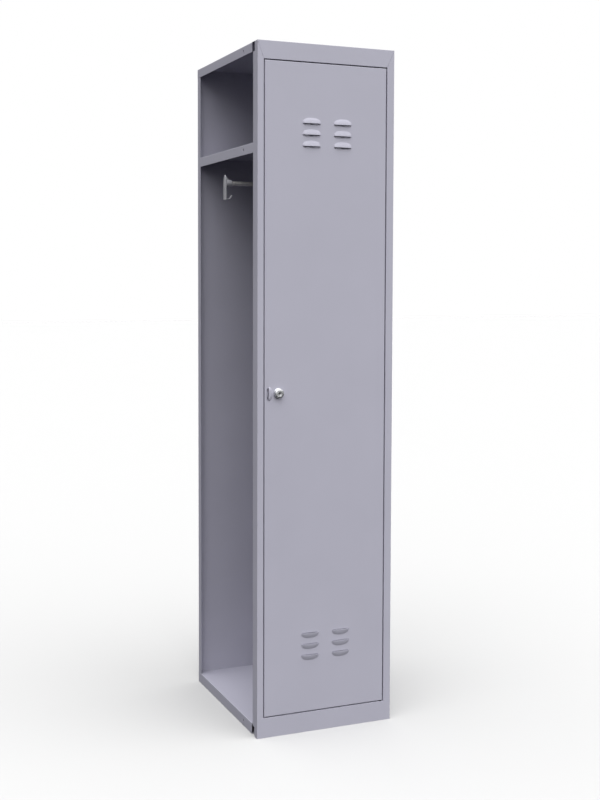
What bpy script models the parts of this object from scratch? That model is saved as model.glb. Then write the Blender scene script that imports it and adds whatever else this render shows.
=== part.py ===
"""Add-on section of a steel wardrobe locker, with one pivoted door.

The locker stands on z = 0 with its door facing -Y. The left side is open, because the
neighbouring locker's wall closes it. Every folded sheet, pivot and lock piece is its own
object. Lengths are metres.
"""

import math

import bmesh
import bpy
from mathutils import Vector

MM = 0.001

# Overall size of the carcass, and how far the lock stands out in front of it
WIDTH = 400 * MM
DEPTH = 500 * MM
HEIGHT = 1860 * MM
LOCK_PROUD = 10 * MM

SHEET = 1.0 * MM
GAP = 0.3 * MM
RUNNING_CLEARANCE = 0.05 * MM
ROUND_STEPS = 32
SMALL_STEPS = 16
DOME_STEPS = 4
CAM_STEPS = 6
HEXAGON = 6
MERGE_DISTANCE = 1e-6
ON_PLANE = 1e-7
FLAT_ANGLE = math.radians(0.5)
SMOOTH_ANGLE = math.radians(35)
SAME_SIDE = 0.5
AXIS_MARK = 50 * MM

# Origin: centre of the footprint, lock included
LEFT_X = -WIDTH / 2
FRONT_Y = (LOCK_PROUD - DEPTH) / 2

# Front frame
LEFT_STILE = 17.4 * MM
RIGHT_STILE = 21.1 * MM
TOP_RAIL = 47.4 * MM
BOTTOM_RAIL = 54.1 * MM
REVEAL = 21 * MM
STOP_LIP = 12 * MM
LEFT_RETURN = 33 * MM
CORNER_NOTCH = 26 * MM
SEAT_MARGIN = 1.5 * MM

# Wall, roof, floor and shelf folds
EDGE_FLANGE = 25 * MM
REAR_FLANGE = 20 * MM
FLANGE_START = 41 * MM
FLANGE_END = DEPTH - 3 * MM
BACK_RETURN = 25 * MM
LINER_X = WIDTH - SHEET - GAP
LINER_Y = DEPTH - SHEET - GAP
FLOOR_LEVEL = 30 * MM
FLOOR_FOOT = 12 * MM
SHELF_LEVEL = 1597 * MM
SHELF_FLANGE = 26.5 * MM
SHELF_RETURN = 10 * MM
SHELF_FRONT = 25 * MM
RELIEF = 2 * MM
JOINING_HOLE_RADIUS = 3.2 * MM
JOINING_HOLE_Y = 106 * MM

# Door leaf
DOOR_GAP = 3 * MM
DOOR_DEPTH = 18 * MM
DOOR_LIP = 12 * MM
DOOR_LEFT = LEFT_STILE + DOOR_GAP
DOOR_RIGHT = WIDTH - RIGHT_STILE - DOOR_GAP
DOOR_BOTTOM = BOTTOM_RAIL + DOOR_GAP
DOOR_TOP = HEIGHT - TOP_RAIL - DOOR_GAP
STIFFENER_WIDTH = 34 * MM
STIFFENER_RISE = 13.5 * MM
STIFFENER_FOOT = 8 * MM
STIFFENER_END = 23 * MM

# Louvres and finger pull
LOUVRE_WIDTH = 52 * MM
LOUVRE_RISE = 14.5 * MM
LOUVRE_DEPTH = 6 * MM
LOUVRE_SLIT = 0.4 * MM
LOUVRE_COLUMNS = (154.5 * MM, 245.5 * MM)
LOUVRE_PITCH = 30.2 * MM
LOUVRE_ROWS = 3
UPPER_LOUVRE_EDGE = 1650.5 * MM
LOWER_LOUVRE_EDGE = 213.7 * MM
PULL_EDGE = 31 * MM
PULL_HEIGHT = 36 * MM
PULL_RISE = 11.5 * MM
PULL_CENTRE_Z = 931.7 * MM

# Door pivots
PIVOT_INSET = 6 * MM
PIVOT_X = DOOR_RIGHT - PIVOT_INSET
PIVOT_Y = PIVOT_INSET
PIN_RADIUS = 2.5 * MM
PIN_HEAD_RADIUS = 4.5 * MM
PIN_HEAD = 1.5 * MM
PIN_REACH = 16 * MM
BUSH_RADIUS = 4.2 * MM
BUSH_FLANGE_RADIUS = 5.5 * MM
BUSH_LENGTH = 14 * MM
UPPER_BUSH_FLANGE = 1.2 * MM
LOWER_BUSH_FLANGE = DOOR_GAP - 2 * GAP
HINGE_PLATE = 2 * MM
HINGE_PLATE_LENGTH = 36 * MM

# Lock
LOCK_X = 60 * MM
LOCK_Z = 932 * MM
COLLAR_RADIUS = 14 * MM
COLLAR_EDGE_RADIUS = 13.2 * MM
COLLAR_FACE_RADIUS = 11.5 * MM
COLLAR_EDGE = 1.5 * MM
COLLAR_TAPER = 4 * MM
BARREL_RADIUS = 9.2 * MM
PLUG_RADIUS = 6 * MM
PLUG_RECESS = 0.5 * MM
STUD_RADIUS = 3 * MM
CAM_BACK = 23.3 * MM
CAM_THICK = 2 * MM
CAM_LENGTH = 40 * MM
CAM_WIDTH = 14 * MM
CAM_NUT_RADIUS = 5.8 * MM
CAM_NUT_THICK = 3.6 * MM
LOCK_NUT_RADIUS = 13.8 * MM
LOCK_NUT_THICK = 4 * MM
KEYWAY = (1.8 * MM, 8 * MM, 8 * MM)

# Clothes rail
ROD_Y = 260 * MM
ROD_Z = 1506 * MM
ROD_RADIUS = 6.2 * MM
ROD_WALL = 1 * MM
BRACKET_THICK = 3 * MM
BRACKET_WIDTH = 20 * MM
BRACKET_TIP_HALF = 3 * MM
BRACKET_BOTTOM = 1459.5 * MM
BRACKET_SHOULDER = 1517 * MM
BRACKET_TIP = 1529.5 * MM
COLLAR_REACH = 17 * MM
ROD_COLLAR_RADIUS = 9.5 * MM
HOOK_WIDTH = 9 * MM
HOOK_THICK = 3 * MM
HOOK_PATH = ((1.7 * MM, 0), (9 * MM, 0.5 * MM), (16 * MM, 4 * MM), (21 * MM, 12 * MM))
RIB_REACH = 14 * MM
SCREW_HEAD_RADIUS = 3.4 * MM
SCREW_RADIUS = 1.75 * MM
SCREW_HEIGHTS = {"bracket_screw_upper": 1489 * MM, "bracket_screw_lower": 1475 * MM}

# Door buffers
BUFFER_HEIGHTS = {"door_buffer_upper": 1700 * MM, "door_buffer_lower": 160 * MM}
BUFFER_RADIUS = 3.5 * MM
BUFFER_STEM = 1.7 * MM
BUFFER_X = 25 * MM

# Finishes: colour, roughness, metallic
POWDER_COAT = ((0.41, 0.41, 0.48), 0.45, 0.0)
CHROME = ((0.78, 0.78, 0.80), 0.12, 1.0)
ZINC = ((0.60, 0.61, 0.63), 0.35, 1.0)
PLASTIC = ((0.38, 0.38, 0.41), 0.5, 0.0)
DARK_PLASTIC = ((0.02, 0.02, 0.022), 0.5, 0.0)
RUBBER = ((0.05, 0.05, 0.055), 0.8, 0.0)


def at(x, y, z):
    """A point given from the left side, back from the front face, and up from the floor."""
    return Vector((LEFT_X + x, FRONT_Y + y, z))


# ---------------------------------------------------------------- objects and modifiers


def clear_scene():
    for obj in list(bpy.data.objects):
        bpy.data.objects.remove(obj)


def add_material(obj, finish):
    colour, roughness, metallic = finish
    material = bpy.data.materials.new(obj.name + "_finish")
    material.use_nodes = True
    shader = material.node_tree.nodes["Principled BSDF"]
    shader.inputs["Base Color"].default_value = (*colour, 1.0)
    shader.inputs["Roughness"].default_value = roughness
    shader.inputs["Metallic"].default_value = metallic
    obj.data.materials.append(material)


def add_object(name, bm, finish=None, parent=None):
    """Turns a bmesh into an object. One with no finish is a cutter, or a shape to be joined."""
    mesh = bpy.data.meshes.new(name)
    bm.to_mesh(mesh)
    bm.free()
    obj = bpy.data.objects.new(name, mesh)
    bpy.context.scene.collection.objects.link(obj)
    if finish is None:
        obj.hide_render = True
        obj.display_type = "WIRE"
    else:
        add_material(obj, finish)
    if parent is not None:
        obj.parent = parent
        obj.matrix_parent_inverse = parent.matrix_world.inverted()
    return obj


def add_axis(name, place, parent=None):
    """An empty on a joint's axis. The pieces that turn about it are its children."""
    empty = bpy.data.objects.new(name, None)
    empty.empty_display_size = AXIS_MARK
    bpy.context.scene.collection.objects.link(empty)
    if parent is not None:
        empty.parent = parent
        empty.matrix_parent_inverse = parent.matrix_world.inverted()
    empty.location = place
    bpy.context.view_layer.update()
    return empty


def combine(obj, other, operation):
    modifier = obj.modifiers.new(operation.title() + " " + other.name, "BOOLEAN")
    modifier.operation = operation
    modifier.solver = "EXACT"
    modifier.object = other


def smooth(obj):
    obj.data.shade_smooth()
    obj.data.set_sharp_from_angle(angle=SMOOTH_ANGLE)


# ---------------------------------------------------------------- bmesh shapes


def box(low, high):
    bm = bmesh.new()
    bmesh.ops.create_cube(bm, size=1)
    size = high - low
    bmesh.ops.scale(bm, vec=size, verts=bm.verts)
    bmesh.ops.translate(bm, vec=(low + high) / 2, verts=bm.verts)
    return bm


def prism(corners, depth):
    """The flat outline through these points, carried along the vector depth."""
    bm = bmesh.new()
    face = bm.faces.new([bm.verts.new(corner) for corner in corners])
    swept = bmesh.ops.extrude_face_region(bm, geom=[face])["geom"]
    moved = [item for item in swept if isinstance(item, bmesh.types.BMVert)]
    bmesh.ops.translate(bm, vec=depth, verts=moved)
    bmesh.ops.recalc_face_normals(bm, faces=bm.faces)
    return bm


def turned(profile, centre, axis, steps=ROUND_STEPS):
    """Turns an outline of (radius, distance along the axis) points about the axis through centre.

    An outline that starts and ends on the axis makes a solid piece; any other is closed into a ring.
    """
    axis = Vector(axis)
    across = axis.orthogonal().normalized()
    bm = bmesh.new()
    verts = [bm.verts.new(centre + across * radius + axis * along) for radius, along in profile]
    edges = [bm.edges.new(pair) for pair in zip(verts, verts[1:])]
    if profile[0][0] > 0:
        edges.append(bm.edges.new((verts[-1], verts[0])))
    bmesh.ops.spin(
        bm, geom=edges, cent=centre, axis=axis, angle=math.tau, steps=steps, use_merge=True
    )
    bmesh.ops.remove_doubles(bm, verts=bm.verts, dist=MERGE_DISTANCE)
    bmesh.ops.recalc_face_normals(bm, faces=bm.faces)
    return bm


def cylinder(radius, start, axis, length, steps=ROUND_STEPS, end_radius=None):
    end_radius = radius if end_radius is None else end_radius
    profile = [(0, 0), (radius, 0), (end_radius, length), (0, length)]
    return turned(profile, start, axis, steps)


def offset_path(path, distance):
    """The 2-D path shifted to its left, with square bends."""
    shifted = []
    for index, point in enumerate(path):
        before = path[max(index - 1, 0)]
        after = path[min(index + 1, len(path) - 1)]
        normals = []
        for start, end in ((before, point), (point, after)):
            step = Vector(end) - Vector(start)
            if step.length > 0:
                normals.append(Vector((-step.y, step.x)).normalized())
        if len(normals) == 1:
            shifted.append(Vector(point) + normals[0] * distance)
        else:
            middle = (normals[0] + normals[1]).normalized()
            shifted.append(Vector(point) + middle * (distance / middle.dot(normals[0])))
    return shifted


def folded_strip(path, place, start, end):
    """A long sheet folded along a 2-D path. The sheet's thickness lies to the left of the path."""
    outline = [Vector(point) for point in path] + offset_path(path, SHEET)[::-1]
    corners = [place(point.x, point.y, start) for point in outline]
    return prism(corners, place(0, 0, end) - place(0, 0, start))


def cut_by_plane(bm, point, normal):
    """Removes what lies on the normal's side of the plane, and closes the cut."""
    geometry = bm.verts[:] + bm.edges[:] + bm.faces[:]
    bmesh.ops.bisect_plane(
        bm, geom=geometry, plane_co=point, plane_no=normal, clear_outer=True, dist=ON_PLANE
    )
    rim = [edge for edge in bm.edges if edge.is_boundary]
    bmesh.ops.holes_fill(bm, edges=rim)
    bmesh.ops.recalc_face_normals(bm, faces=bm.faces)


def thicken(bm):
    """Gives a surface of flat faces that meet at right angles the sheet's thickness, inwards."""
    bm.normal_update()
    outer_faces = bm.faces[:]
    rim = [edge for edge in bm.edges if edge.is_boundary]
    inner = {}
    for vert in bm.verts[:]:
        normals = []
        for face in vert.link_faces:
            if all(face.normal.dot(other) < SAME_SIDE for other in normals):
                normals.append(face.normal.copy())
        inner[vert] = bm.verts.new(vert.co - sum(normals, Vector()) * SHEET)
    for face in outer_faces:
        bm.faces.new([inner[vert] for vert in reversed(face.verts)])
    for edge in rim:
        first, second = edge.verts
        bm.faces.new((first, second, inner[second], inner[first]))
    bmesh.ops.recalc_face_normals(bm, faces=bm.faces)


def bent_panel(name, place, outline, flanges):
    """A flat panel with flanges folded back from parts of its edge.

    outline lists (u, v) points with the outside facing the reader. flanges gives, for the edge
    that starts at each listed index, the (u, v, n) steps of its folds. place turns (u, v, n)
    into a point, n being the height above the panel's outer face.
    """
    bm = bmesh.new()
    rim = [bm.verts.new(place(u, v, 0)) for u, v in outline]
    bm.faces.new(rim)
    for index, steps in flanges.items():
        following = (index + 1) % len(outline)
        first, second = rim[index], rim[following]
        start, end = Vector((*outline[index], 0)), Vector((*outline[following], 0))
        for step in steps:
            start = start + Vector(step)
            end = end + Vector(step)
            next_first = bm.verts.new(place(*start))
            next_second = bm.verts.new(place(*end))
            bm.faces.new((second, first, next_first, next_second))
            first, second = next_first, next_second
    thicken(bm)
    return add_object(name, bm, POWDER_COAT)


# ---------------------------------------------------------------- front frame


def mitre(side):
    """A point on the top corner's mitre line, and the normal that points to the rail."""
    width, corner = (LEFT_STILE, 0) if side < 0 else (RIGHT_STILE, WIDTH)
    normal = Vector((-side * TOP_RAIL, 0, width)).normalized()
    return at(corner, 0, HEIGHT), normal


def make_left_stile():
    lip_end = LEFT_STILE + STOP_LIP
    path = [
        (0, LEFT_RETURN),
        (0, 0),
        (LEFT_STILE, 0),
        (LEFT_STILE, REVEAL),
        (lip_end, REVEAL),
    ]
    bm = folded_strip(path, at, 0, HEIGHT)
    point, normal = mitre(-1)
    cut_by_plane(bm, point - normal * GAP / 2, normal)
    obj = add_object("left_stile", bm, POWDER_COAT)
    notches = {
        "left_stile_top_notch": (HEIGHT - CORNER_NOTCH, HEIGHT + SHEET),
        "left_stile_foot_notch": (-SHEET, CORNER_NOTCH),
    }
    for name, (low, high) in notches.items():
        notch = box(at(-SHEET, REVEAL, low), at(2 * SHEET, LEFT_RETURN + SHEET, high))
        combine(obj, add_object(name, notch), "DIFFERENCE")
    make_rail_seat(obj, LEFT_STILE - SEAT_MARGIN, lip_end + SHEET)
    for name, height in BUFFER_HEIGHTS.items():
        hole = cylinder(BUFFER_STEM + GAP, at(BUFFER_X, REVEAL - SHEET, height), (0, 1, 0), 3 * SHEET)
        combine(obj, add_object(name + "_hole", hole), "DIFFERENCE")


def make_right_stile():
    jamb = WIDTH - RIGHT_STILE
    path = [
        (jamb - STOP_LIP, REVEAL),
        (jamb, REVEAL),
        (jamb, 0),
        (WIDTH, 0),
        (WIDTH, REVEAL),
    ]
    bm = folded_strip(path, at, 0, HEIGHT)
    point, normal = mitre(1)
    cut_by_plane(bm, point - normal * GAP / 2, normal)
    obj = add_object("right_stile", bm, POWDER_COAT)
    make_rail_seat(obj, jamb - STOP_LIP - SHEET, jamb + SEAT_MARGIN)


def make_rail_seat(stile, low_x, high_x):
    """Clears the stile's inner folds where the bottom rail meets it."""
    seat = box(at(low_x, SHEET, -SHEET), at(high_x, REVEAL + 2 * SHEET, BOTTOM_RAIL + GAP))
    combine(stile, add_object(stile.name + "_rail_seat", seat), "DIFFERENCE")


def along_x(y, z, x):
    return at(x, y, z)


def make_top_rail():
    underside = HEIGHT - TOP_RAIL
    path = [
        (REVEAL, HEIGHT),
        (0, HEIGHT),
        (0, underside),
        (REVEAL, underside),
        (REVEAL, underside - STOP_LIP),
    ]
    bm = folded_strip(path, along_x, 0, WIDTH)
    for side in (-1, 1):
        point, normal = mitre(side)
        cut_by_plane(bm, point + normal * GAP / 2, -normal)
    obj = add_object("top_rail", bm, POWDER_COAT)
    hole = cylinder(PIN_RADIUS + GAP, at(PIVOT_X, PIVOT_Y, underside - SHEET), (0, 0, 1), 3 * SHEET)
    combine(obj, add_object("upper_pin_hole", hole), "DIFFERENCE")


def make_bottom_rail():
    path = [
        (REVEAL, BOTTOM_RAIL + STOP_LIP),
        (REVEAL, BOTTOM_RAIL),
        (0, BOTTOM_RAIL),
        (0, 0),
        (FLANGE_START - SHEET, 0),
    ]
    left, right = LEFT_STILE + GAP, WIDTH - RIGHT_STILE - GAP
    bm = folded_strip(path, along_x, left, right)
    obj = add_object("bottom_rail", bm, POWDER_COAT)
    ends = {"left": (left - SHEET, left + STOP_LIP), "right": (right - STOP_LIP, right + SHEET)}
    for end, (low, high) in ends.items():
        corner = box(
            at(low, REVEAL - SHEET, BOTTOM_RAIL),
            at(high, REVEAL + 2 * SHEET, BOTTOM_RAIL + STOP_LIP + SHEET),
        )
        combine(obj, add_object("bottom_rail_" + end + "_end", corner), "DIFFERENCE")
    hole = cylinder(
        PIN_RADIUS + GAP, at(PIVOT_X, PIVOT_Y, BOTTOM_RAIL - 2 * SHEET), (0, 0, 1), 3 * SHEET
    )
    combine(obj, add_object("lower_pin_hole", hole), "DIFFERENCE")


# ---------------------------------------------------------------- walls, roof, floor, shelf


def joining_hole(obj, height):
    """The hole through the left flange where this locker is fastened to its neighbour."""
    hole = cylinder(
        JOINING_HOLE_RADIUS, at(-SHEET, JOINING_HOLE_Y, height), (1, 0, 0), 4 * SHEET, SMALL_STEPS
    )
    combine(obj, add_object(obj.name + "_joining_hole", hole), "DIFFERENCE")


def make_right_side_panel():
    front = REVEAL + GAP
    low, high = FLOOR_LEVEL + RELIEF, HEIGHT - EDGE_FLANGE - RELIEF
    outline = [(front, 0), (DEPTH, 0), (DEPTH, HEIGHT), (front, HEIGHT), (front, high), (front, low)]
    flange = RIGHT_STILE - SEAT_MARGIN

    def place(y, z, out):
        return at(WIDTH + out, y, z)

    obj = bent_panel("right_side_panel", place, outline, {4: [(0, 0, -flange)]})
    for name, height in SCREW_HEIGHTS.items():
        start = at(WIDTH - 2 * SHEET, ROD_Y, height)
        hole = cylinder(SCREW_RADIUS + GAP, start, (1, 0, 0), 3 * SHEET, SMALL_STEPS)
        combine(obj, add_object(name + "_hole", hole), "DIFFERENCE")


def make_back_panel():
    low, high = FLOOR_LEVEL + GAP + SHEET / 2, HEIGHT - EDGE_FLANGE - GAP - SHEET / 2
    outline = [
        (0, 0),
        (low, 0),
        (high, 0),
        (HEIGHT, 0),
        (HEIGHT, LINER_X),
        (high, LINER_X),
        (low, LINER_X),
        (0, LINER_X),
    ]

    def place(z, x, out):
        return at(x, DEPTH + out, z)

    fold = [(0, 0, -BACK_RETURN)]
    bent_panel("back_panel", place, outline, {1: fold, 5: fold})


def make_roof_panel():
    front = REVEAL + GAP
    back_end = DEPTH - BACK_RETURN - GAP
    inner = LINER_X - SHEET - GAP
    outline = [
        (0, front),
        (RELIEF, front),
        (inner - RELIEF, front),
        (LINER_X, front),
        (LINER_X, front + RELIEF),
        (LINER_X, back_end),
        (inner, back_end),
        (inner, LINER_Y),
        (inner - RELIEF, LINER_Y),
        (RELIEF, LINER_Y),
        (0, LINER_Y),
        (0, FLANGE_END),
        (0, FLANGE_START + SHEET / 2),
    ]
    drop = [(0, 0, -EDGE_FLANGE)]
    rear_drop = [(0, 0, -REAR_FLANGE)]

    def place(x, y, out):
        return at(x, y, HEIGHT + out)

    flanges = {1: drop, 4: drop, 8: rear_drop, 11: drop}
    obj = bent_panel("roof_panel", place, outline, flanges)
    joining_hole(obj, HEIGHT - EDGE_FLANGE / 2)


def make_floor_panel():
    front = 2 * SHEET
    inset = SHEET + GAP
    back_end = DEPTH - BACK_RETURN - GAP
    outline = [
        (inset, front),
        (LINER_X, front),
        (LINER_X, FLANGE_START),
        (LINER_X, back_end),
        (LINER_X, LINER_Y),
        (0, LINER_Y),
        (0, FLANGE_END),
        (0, FLANGE_START),
        (inset, FLANGE_START),
    ]

    def place(x, y, out):
        return at(x, y, FLOOR_LEVEL + out)

    left = [(0, 0, -FLOOR_LEVEL), (FLOOR_FOOT, 0, 0)]
    right = [(0, 0, -FLOOR_LEVEL), (-FLOOR_FOOT, 0, 0)]
    obj = bent_panel("floor_panel", place, outline, {2: right, 6: left})
    joining_hole(obj, FLOOR_LEVEL / 2)


def make_hat_shelf():
    inset = SHEET + GAP
    flange_start = LEFT_RETURN + GAP
    back_end = DEPTH - BACK_RETURN - GAP
    inner = LINER_X - SHEET - GAP
    outline = [
        (inset, SHELF_FRONT),
        (inset + RELIEF, SHELF_FRONT),
        (inner - RELIEF, SHELF_FRONT),
        (LINER_X, SHELF_FRONT),
        (LINER_X, SHELF_FRONT + RELIEF),
        (LINER_X, back_end),
        (inner, back_end),
        (inner, LINER_Y),
        (inner - RELIEF, LINER_Y),
        (inset + RELIEF, LINER_Y),
        (inset, LINER_Y),
        (inset, back_end),
        (0, back_end),
        (0, flange_start),
        (inset, flange_start),
    ]

    def place(x, y, out):
        return at(x, y, SHELF_LEVEL + out)

    drop = [(0, 0, -SHELF_FLANGE)]
    front_drop = [(0, 0, -SHELF_FLANGE), (0, SHELF_RETURN, 0)]
    flanges = {1: front_drop, 4: drop, 8: drop, 12: drop}
    obj = bent_panel("hat_shelf", place, outline, flanges)
    joining_hole(obj, SHELF_LEVEL - SHELF_FLANGE / 2)


# ---------------------------------------------------------------- clothes rail


def make_hanger_rod():
    start = BRACKET_THICK + 2 * GAP
    length = WIDTH - SHEET - GAP - BRACKET_THICK - GAP - start
    bore = ROD_RADIUS - ROD_WALL
    profile = [(bore, 0), (ROD_RADIUS, 0), (ROD_RADIUS, length), (bore, length)]
    rod = add_object("hanger_rod", turned(profile, at(start, ROD_Y, ROD_Z), (1, 0, 0)), ZINC)
    smooth(rod)


def make_rod_bracket(name, wall_x, inward):
    """Moulded bracket: wall plate with a pointed top, collar round the rod, rib, and coat hook."""
    side = Vector((inward, 0, 0))
    half = BRACKET_WIDTH / 2
    plate_outline = [
        (-half, BRACKET_BOTTOM),
        (half, BRACKET_BOTTOM),
        (half, BRACKET_SHOULDER),
        (BRACKET_TIP_HALF, BRACKET_TIP),
        (-BRACKET_TIP_HALF, BRACKET_TIP),
        (-half, BRACKET_SHOULDER),
    ]
    corners = [at(wall_x, ROD_Y + y, z) for y, z in plate_outline]
    obj = add_object(name, prism(corners, side * BRACKET_THICK), PLASTIC)

    root = BRACKET_THICK - GAP
    reach = BRACKET_THICK + COLLAR_REACH
    bore = ROD_RADIUS + GAP
    collar = [(bore, root), (ROD_COLLAR_RADIUS, root), (ROD_COLLAR_RADIUS, reach), (bore, reach)]
    ring = turned(collar, at(wall_x, ROD_Y, ROD_Z), side)
    combine(obj, add_object(name + "_collar", ring), "UNION")

    rib_half = HOOK_THICK / 2
    collar_top = ROD_Z + ROD_COLLAR_RADIUS - SHEET
    rib_outline = [(root, BRACKET_TIP - SHEET), (root, collar_top), (RIB_REACH, collar_top)]
    corners = [at(wall_x, ROD_Y - rib_half, z) + side * x for x, z in rib_outline]
    rib = prism(corners, Vector((0, HOOK_THICK, 0)))
    combine(obj, add_object(name + "_rib", rib), "UNION")

    low = BRACKET_BOTTOM + HOOK_THICK
    hook_path = [(out, low + up) for out, up in HOOK_PATH]
    hook_edge = offset_path(hook_path, -HOOK_THICK)[::-1]
    corners = [
        at(wall_x, ROD_Y - HOOK_WIDTH / 2, point[1]) + side * point[0]
        for point in hook_path + [tuple(edge) for edge in hook_edge]
    ]
    hook = prism(corners, Vector((0, HOOK_WIDTH, 0)))
    combine(obj, add_object(name + "_hook", hook), "UNION")

    for number, height in enumerate(SCREW_HEIGHTS.values()):
        start = at(wall_x, ROD_Y, height) - side * SHEET
        wide = SCREW_HEAD_RADIUS + GAP
        narrow = SCREW_RADIUS + GAP
        length = BRACKET_THICK + 2 * SHEET
        taper = [
            (0, 0),
            (narrow, 0),
            (narrow, 2 * SHEET),
            (wide, length - SHEET),
            (wide, length),
            (0, length),
        ]
        hole = turned(taper, start, side, SMALL_STEPS)
        combine(obj, add_object(f"{name}_screw_hole_{number}", hole), "DIFFERENCE")


def make_bracket_screws(wall_x):
    """Countersunk screws from inside the locker through the right bracket into the side wall."""
    for name, height in SCREW_HEIGHTS.items():
        length = BRACKET_THICK + SHEET
        taper_end = BRACKET_THICK - SHEET
        profile = [
            (0, 0),
            (SCREW_HEAD_RADIUS, 0),
            (SCREW_RADIUS, taper_end),
            (SCREW_RADIUS, length),
            (0, length),
        ]
        head = at(wall_x - BRACKET_THICK, ROD_Y, height)
        screw = add_object(name, turned(profile, head, (1, 0, 0), SMALL_STEPS), ZINC)
        smooth(screw)


# ---------------------------------------------------------------- door


def dome(edge_centre, along, rise_way, width, rise, depth, behind):
    """A pressed dome: straight along its opening edge, rounded above, swelling towards -Y.

    behind is how far the shape goes back through the door's skin.
    """
    flat = width / 2 - rise
    back = Vector((0, 1, 0))
    bm = bmesh.new()
    for end in (-1, 1):
        for turn in range(DOME_STEPS + 1):
            turn_angle = math.pi / 2 * turn / DOME_STEPS
            across = end * (flat + rise * math.cos(turn_angle))
            size = math.sin(turn_angle)
            for lift in range(DOME_STEPS + 1):
                lift_angle = math.pi / 2 * lift / DOME_STEPS
                up = rise * size * math.cos(lift_angle)
                out = depth * size * math.sin(lift_angle)
                bm.verts.new(edge_centre + along * across + rise_way * up - back * out)
            bm.verts.new(edge_centre + along * across + rise_way * rise * size + back * behind)
            bm.verts.new(edge_centre + along * across + back * behind)
    bmesh.ops.remove_doubles(bm, verts=bm.verts, dist=MERGE_DISTANCE)
    hull = bmesh.ops.convex_hull(bm, input=bm.verts)
    loose = [item for item in hull["geom_interior"] if isinstance(item, bmesh.types.BMVert)]
    bmesh.ops.delete(bm, geom=loose, context="VERTS")
    bmesh.ops.dissolve_limit(bm, angle_limit=FLAT_ANGLE, verts=bm.verts[:], edges=bm.edges[:])
    bmesh.ops.recalc_face_normals(bm, faces=bm.faces)
    return bm


def louvre_places():
    """(centre of the opening edge, direction along it, direction it rises, width, rise) of each."""
    across, up, down = Vector((1, 0, 0)), Vector((0, 0, 1)), Vector((0, 0, -1))
    for x in LOUVRE_COLUMNS:
        for row in range(LOUVRE_ROWS):
            drop = row * LOUVRE_PITCH
            yield at(x, 0, UPPER_LOUVRE_EDGE - drop), across, up, LOUVRE_WIDTH, LOUVRE_RISE
            yield at(x, 0, LOWER_LOUVRE_EDGE + drop), across, down, LOUVRE_WIDTH, LOUVRE_RISE
    yield at(PULL_EDGE, 0, PULL_CENTRE_Z), up, across, PULL_HEIGHT, PULL_RISE


def merged(shapes):
    whole = bmesh.new()
    for shape in shapes:
        mesh = bpy.data.meshes.new("shape")
        shape.to_mesh(mesh)
        shape.free()
        whole.from_mesh(mesh)
        bpy.data.meshes.remove(mesh)
    return whole


def make_door_panel(door_axis):
    """The leaf: a tray folded from one sheet, its lips turned in behind."""
    rings = [
        (0, 0),
        (0, DOOR_DEPTH),
        (DOOR_LIP, DOOR_DEPTH),
        (DOOR_LIP, DOOR_DEPTH - SHEET),
        (SHEET, DOOR_DEPTH - SHEET),
        (SHEET, SHEET),
    ]
    bm = bmesh.new()
    loops = []
    for inset, y in rings:
        low_x, high_x = DOOR_LEFT + inset, DOOR_RIGHT - inset
        low_z, high_z = DOOR_BOTTOM + inset, DOOR_TOP - inset
        corners = [(low_x, low_z), (high_x, low_z), (high_x, high_z), (low_x, high_z)]
        loops.append([bm.verts.new(at(x, y, z)) for x, z in corners])
    for outer, inner in zip(loops, loops[1:]):
        for index in range(4):
            following = (index + 1) % 4
            bm.faces.new((outer[index], outer[following], inner[following], inner[index]))
    bm.faces.new(loops[0])
    bm.faces.new(loops[-1])
    bmesh.ops.recalc_face_normals(bm, faces=bm.faces)
    door = add_object("door_panel", bm, POWDER_COAT, door_axis)

    outside, inside = [], []
    for centre, along, rise_way, width, rise in louvre_places():
        outside.append(dome(centre, along, rise_way, width, rise, LOUVRE_DEPTH, SHEET / 2))
        start = centre - rise_way * LOUVRE_SLIT
        inner_width, inner_rise = width - 2 * SHEET, rise - SHEET + LOUVRE_SLIT
        inner_depth = LOUVRE_DEPTH - SHEET
        cavity = dome(start, along, rise_way, inner_width, inner_rise, inner_depth, 2 * SHEET)
        inside.append(cavity)
    combine(door, add_object("louvre_domes", merged(outside)), "UNION")
    combine(door, add_object("louvre_cavities", merged(inside)), "DIFFERENCE")

    hole = cylinder(BARREL_RADIUS + GAP, at(LOCK_X, -SHEET, LOCK_Z), (0, 1, 0), 3 * SHEET)
    combine(door, add_object("lock_hole", hole), "DIFFERENCE")
    for name, height in (("upper", DOOR_TOP - 2 * SHEET), ("lower", DOOR_BOTTOM - SHEET)):
        hole = cylinder(BUSH_RADIUS + GAP, at(PIVOT_X, PIVOT_Y, height), (0, 0, 1), 3 * SHEET)
        combine(door, add_object(name + "_bush_hole", hole), "DIFFERENCE")


def make_door_stiffener(door_axis):
    centre = (LOUVRE_COLUMNS[0] + LOUVRE_COLUMNS[1]) / 2
    skin = SHEET + GAP
    half = STIFFENER_WIDTH / 2
    web = half - STIFFENER_FOOT
    path = [
        (centre - half, skin),
        (centre - web, skin),
        (centre - web, skin + STIFFENER_RISE),
        (centre + web, skin + STIFFENER_RISE),
        (centre + web, skin),
        (centre + half, skin),
    ]
    strip = folded_strip(path, at, DOOR_BOTTOM + STIFFENER_END, DOOR_TOP - STIFFENER_END)
    add_object("door_stiffener", strip, POWDER_COAT, door_axis)


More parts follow.
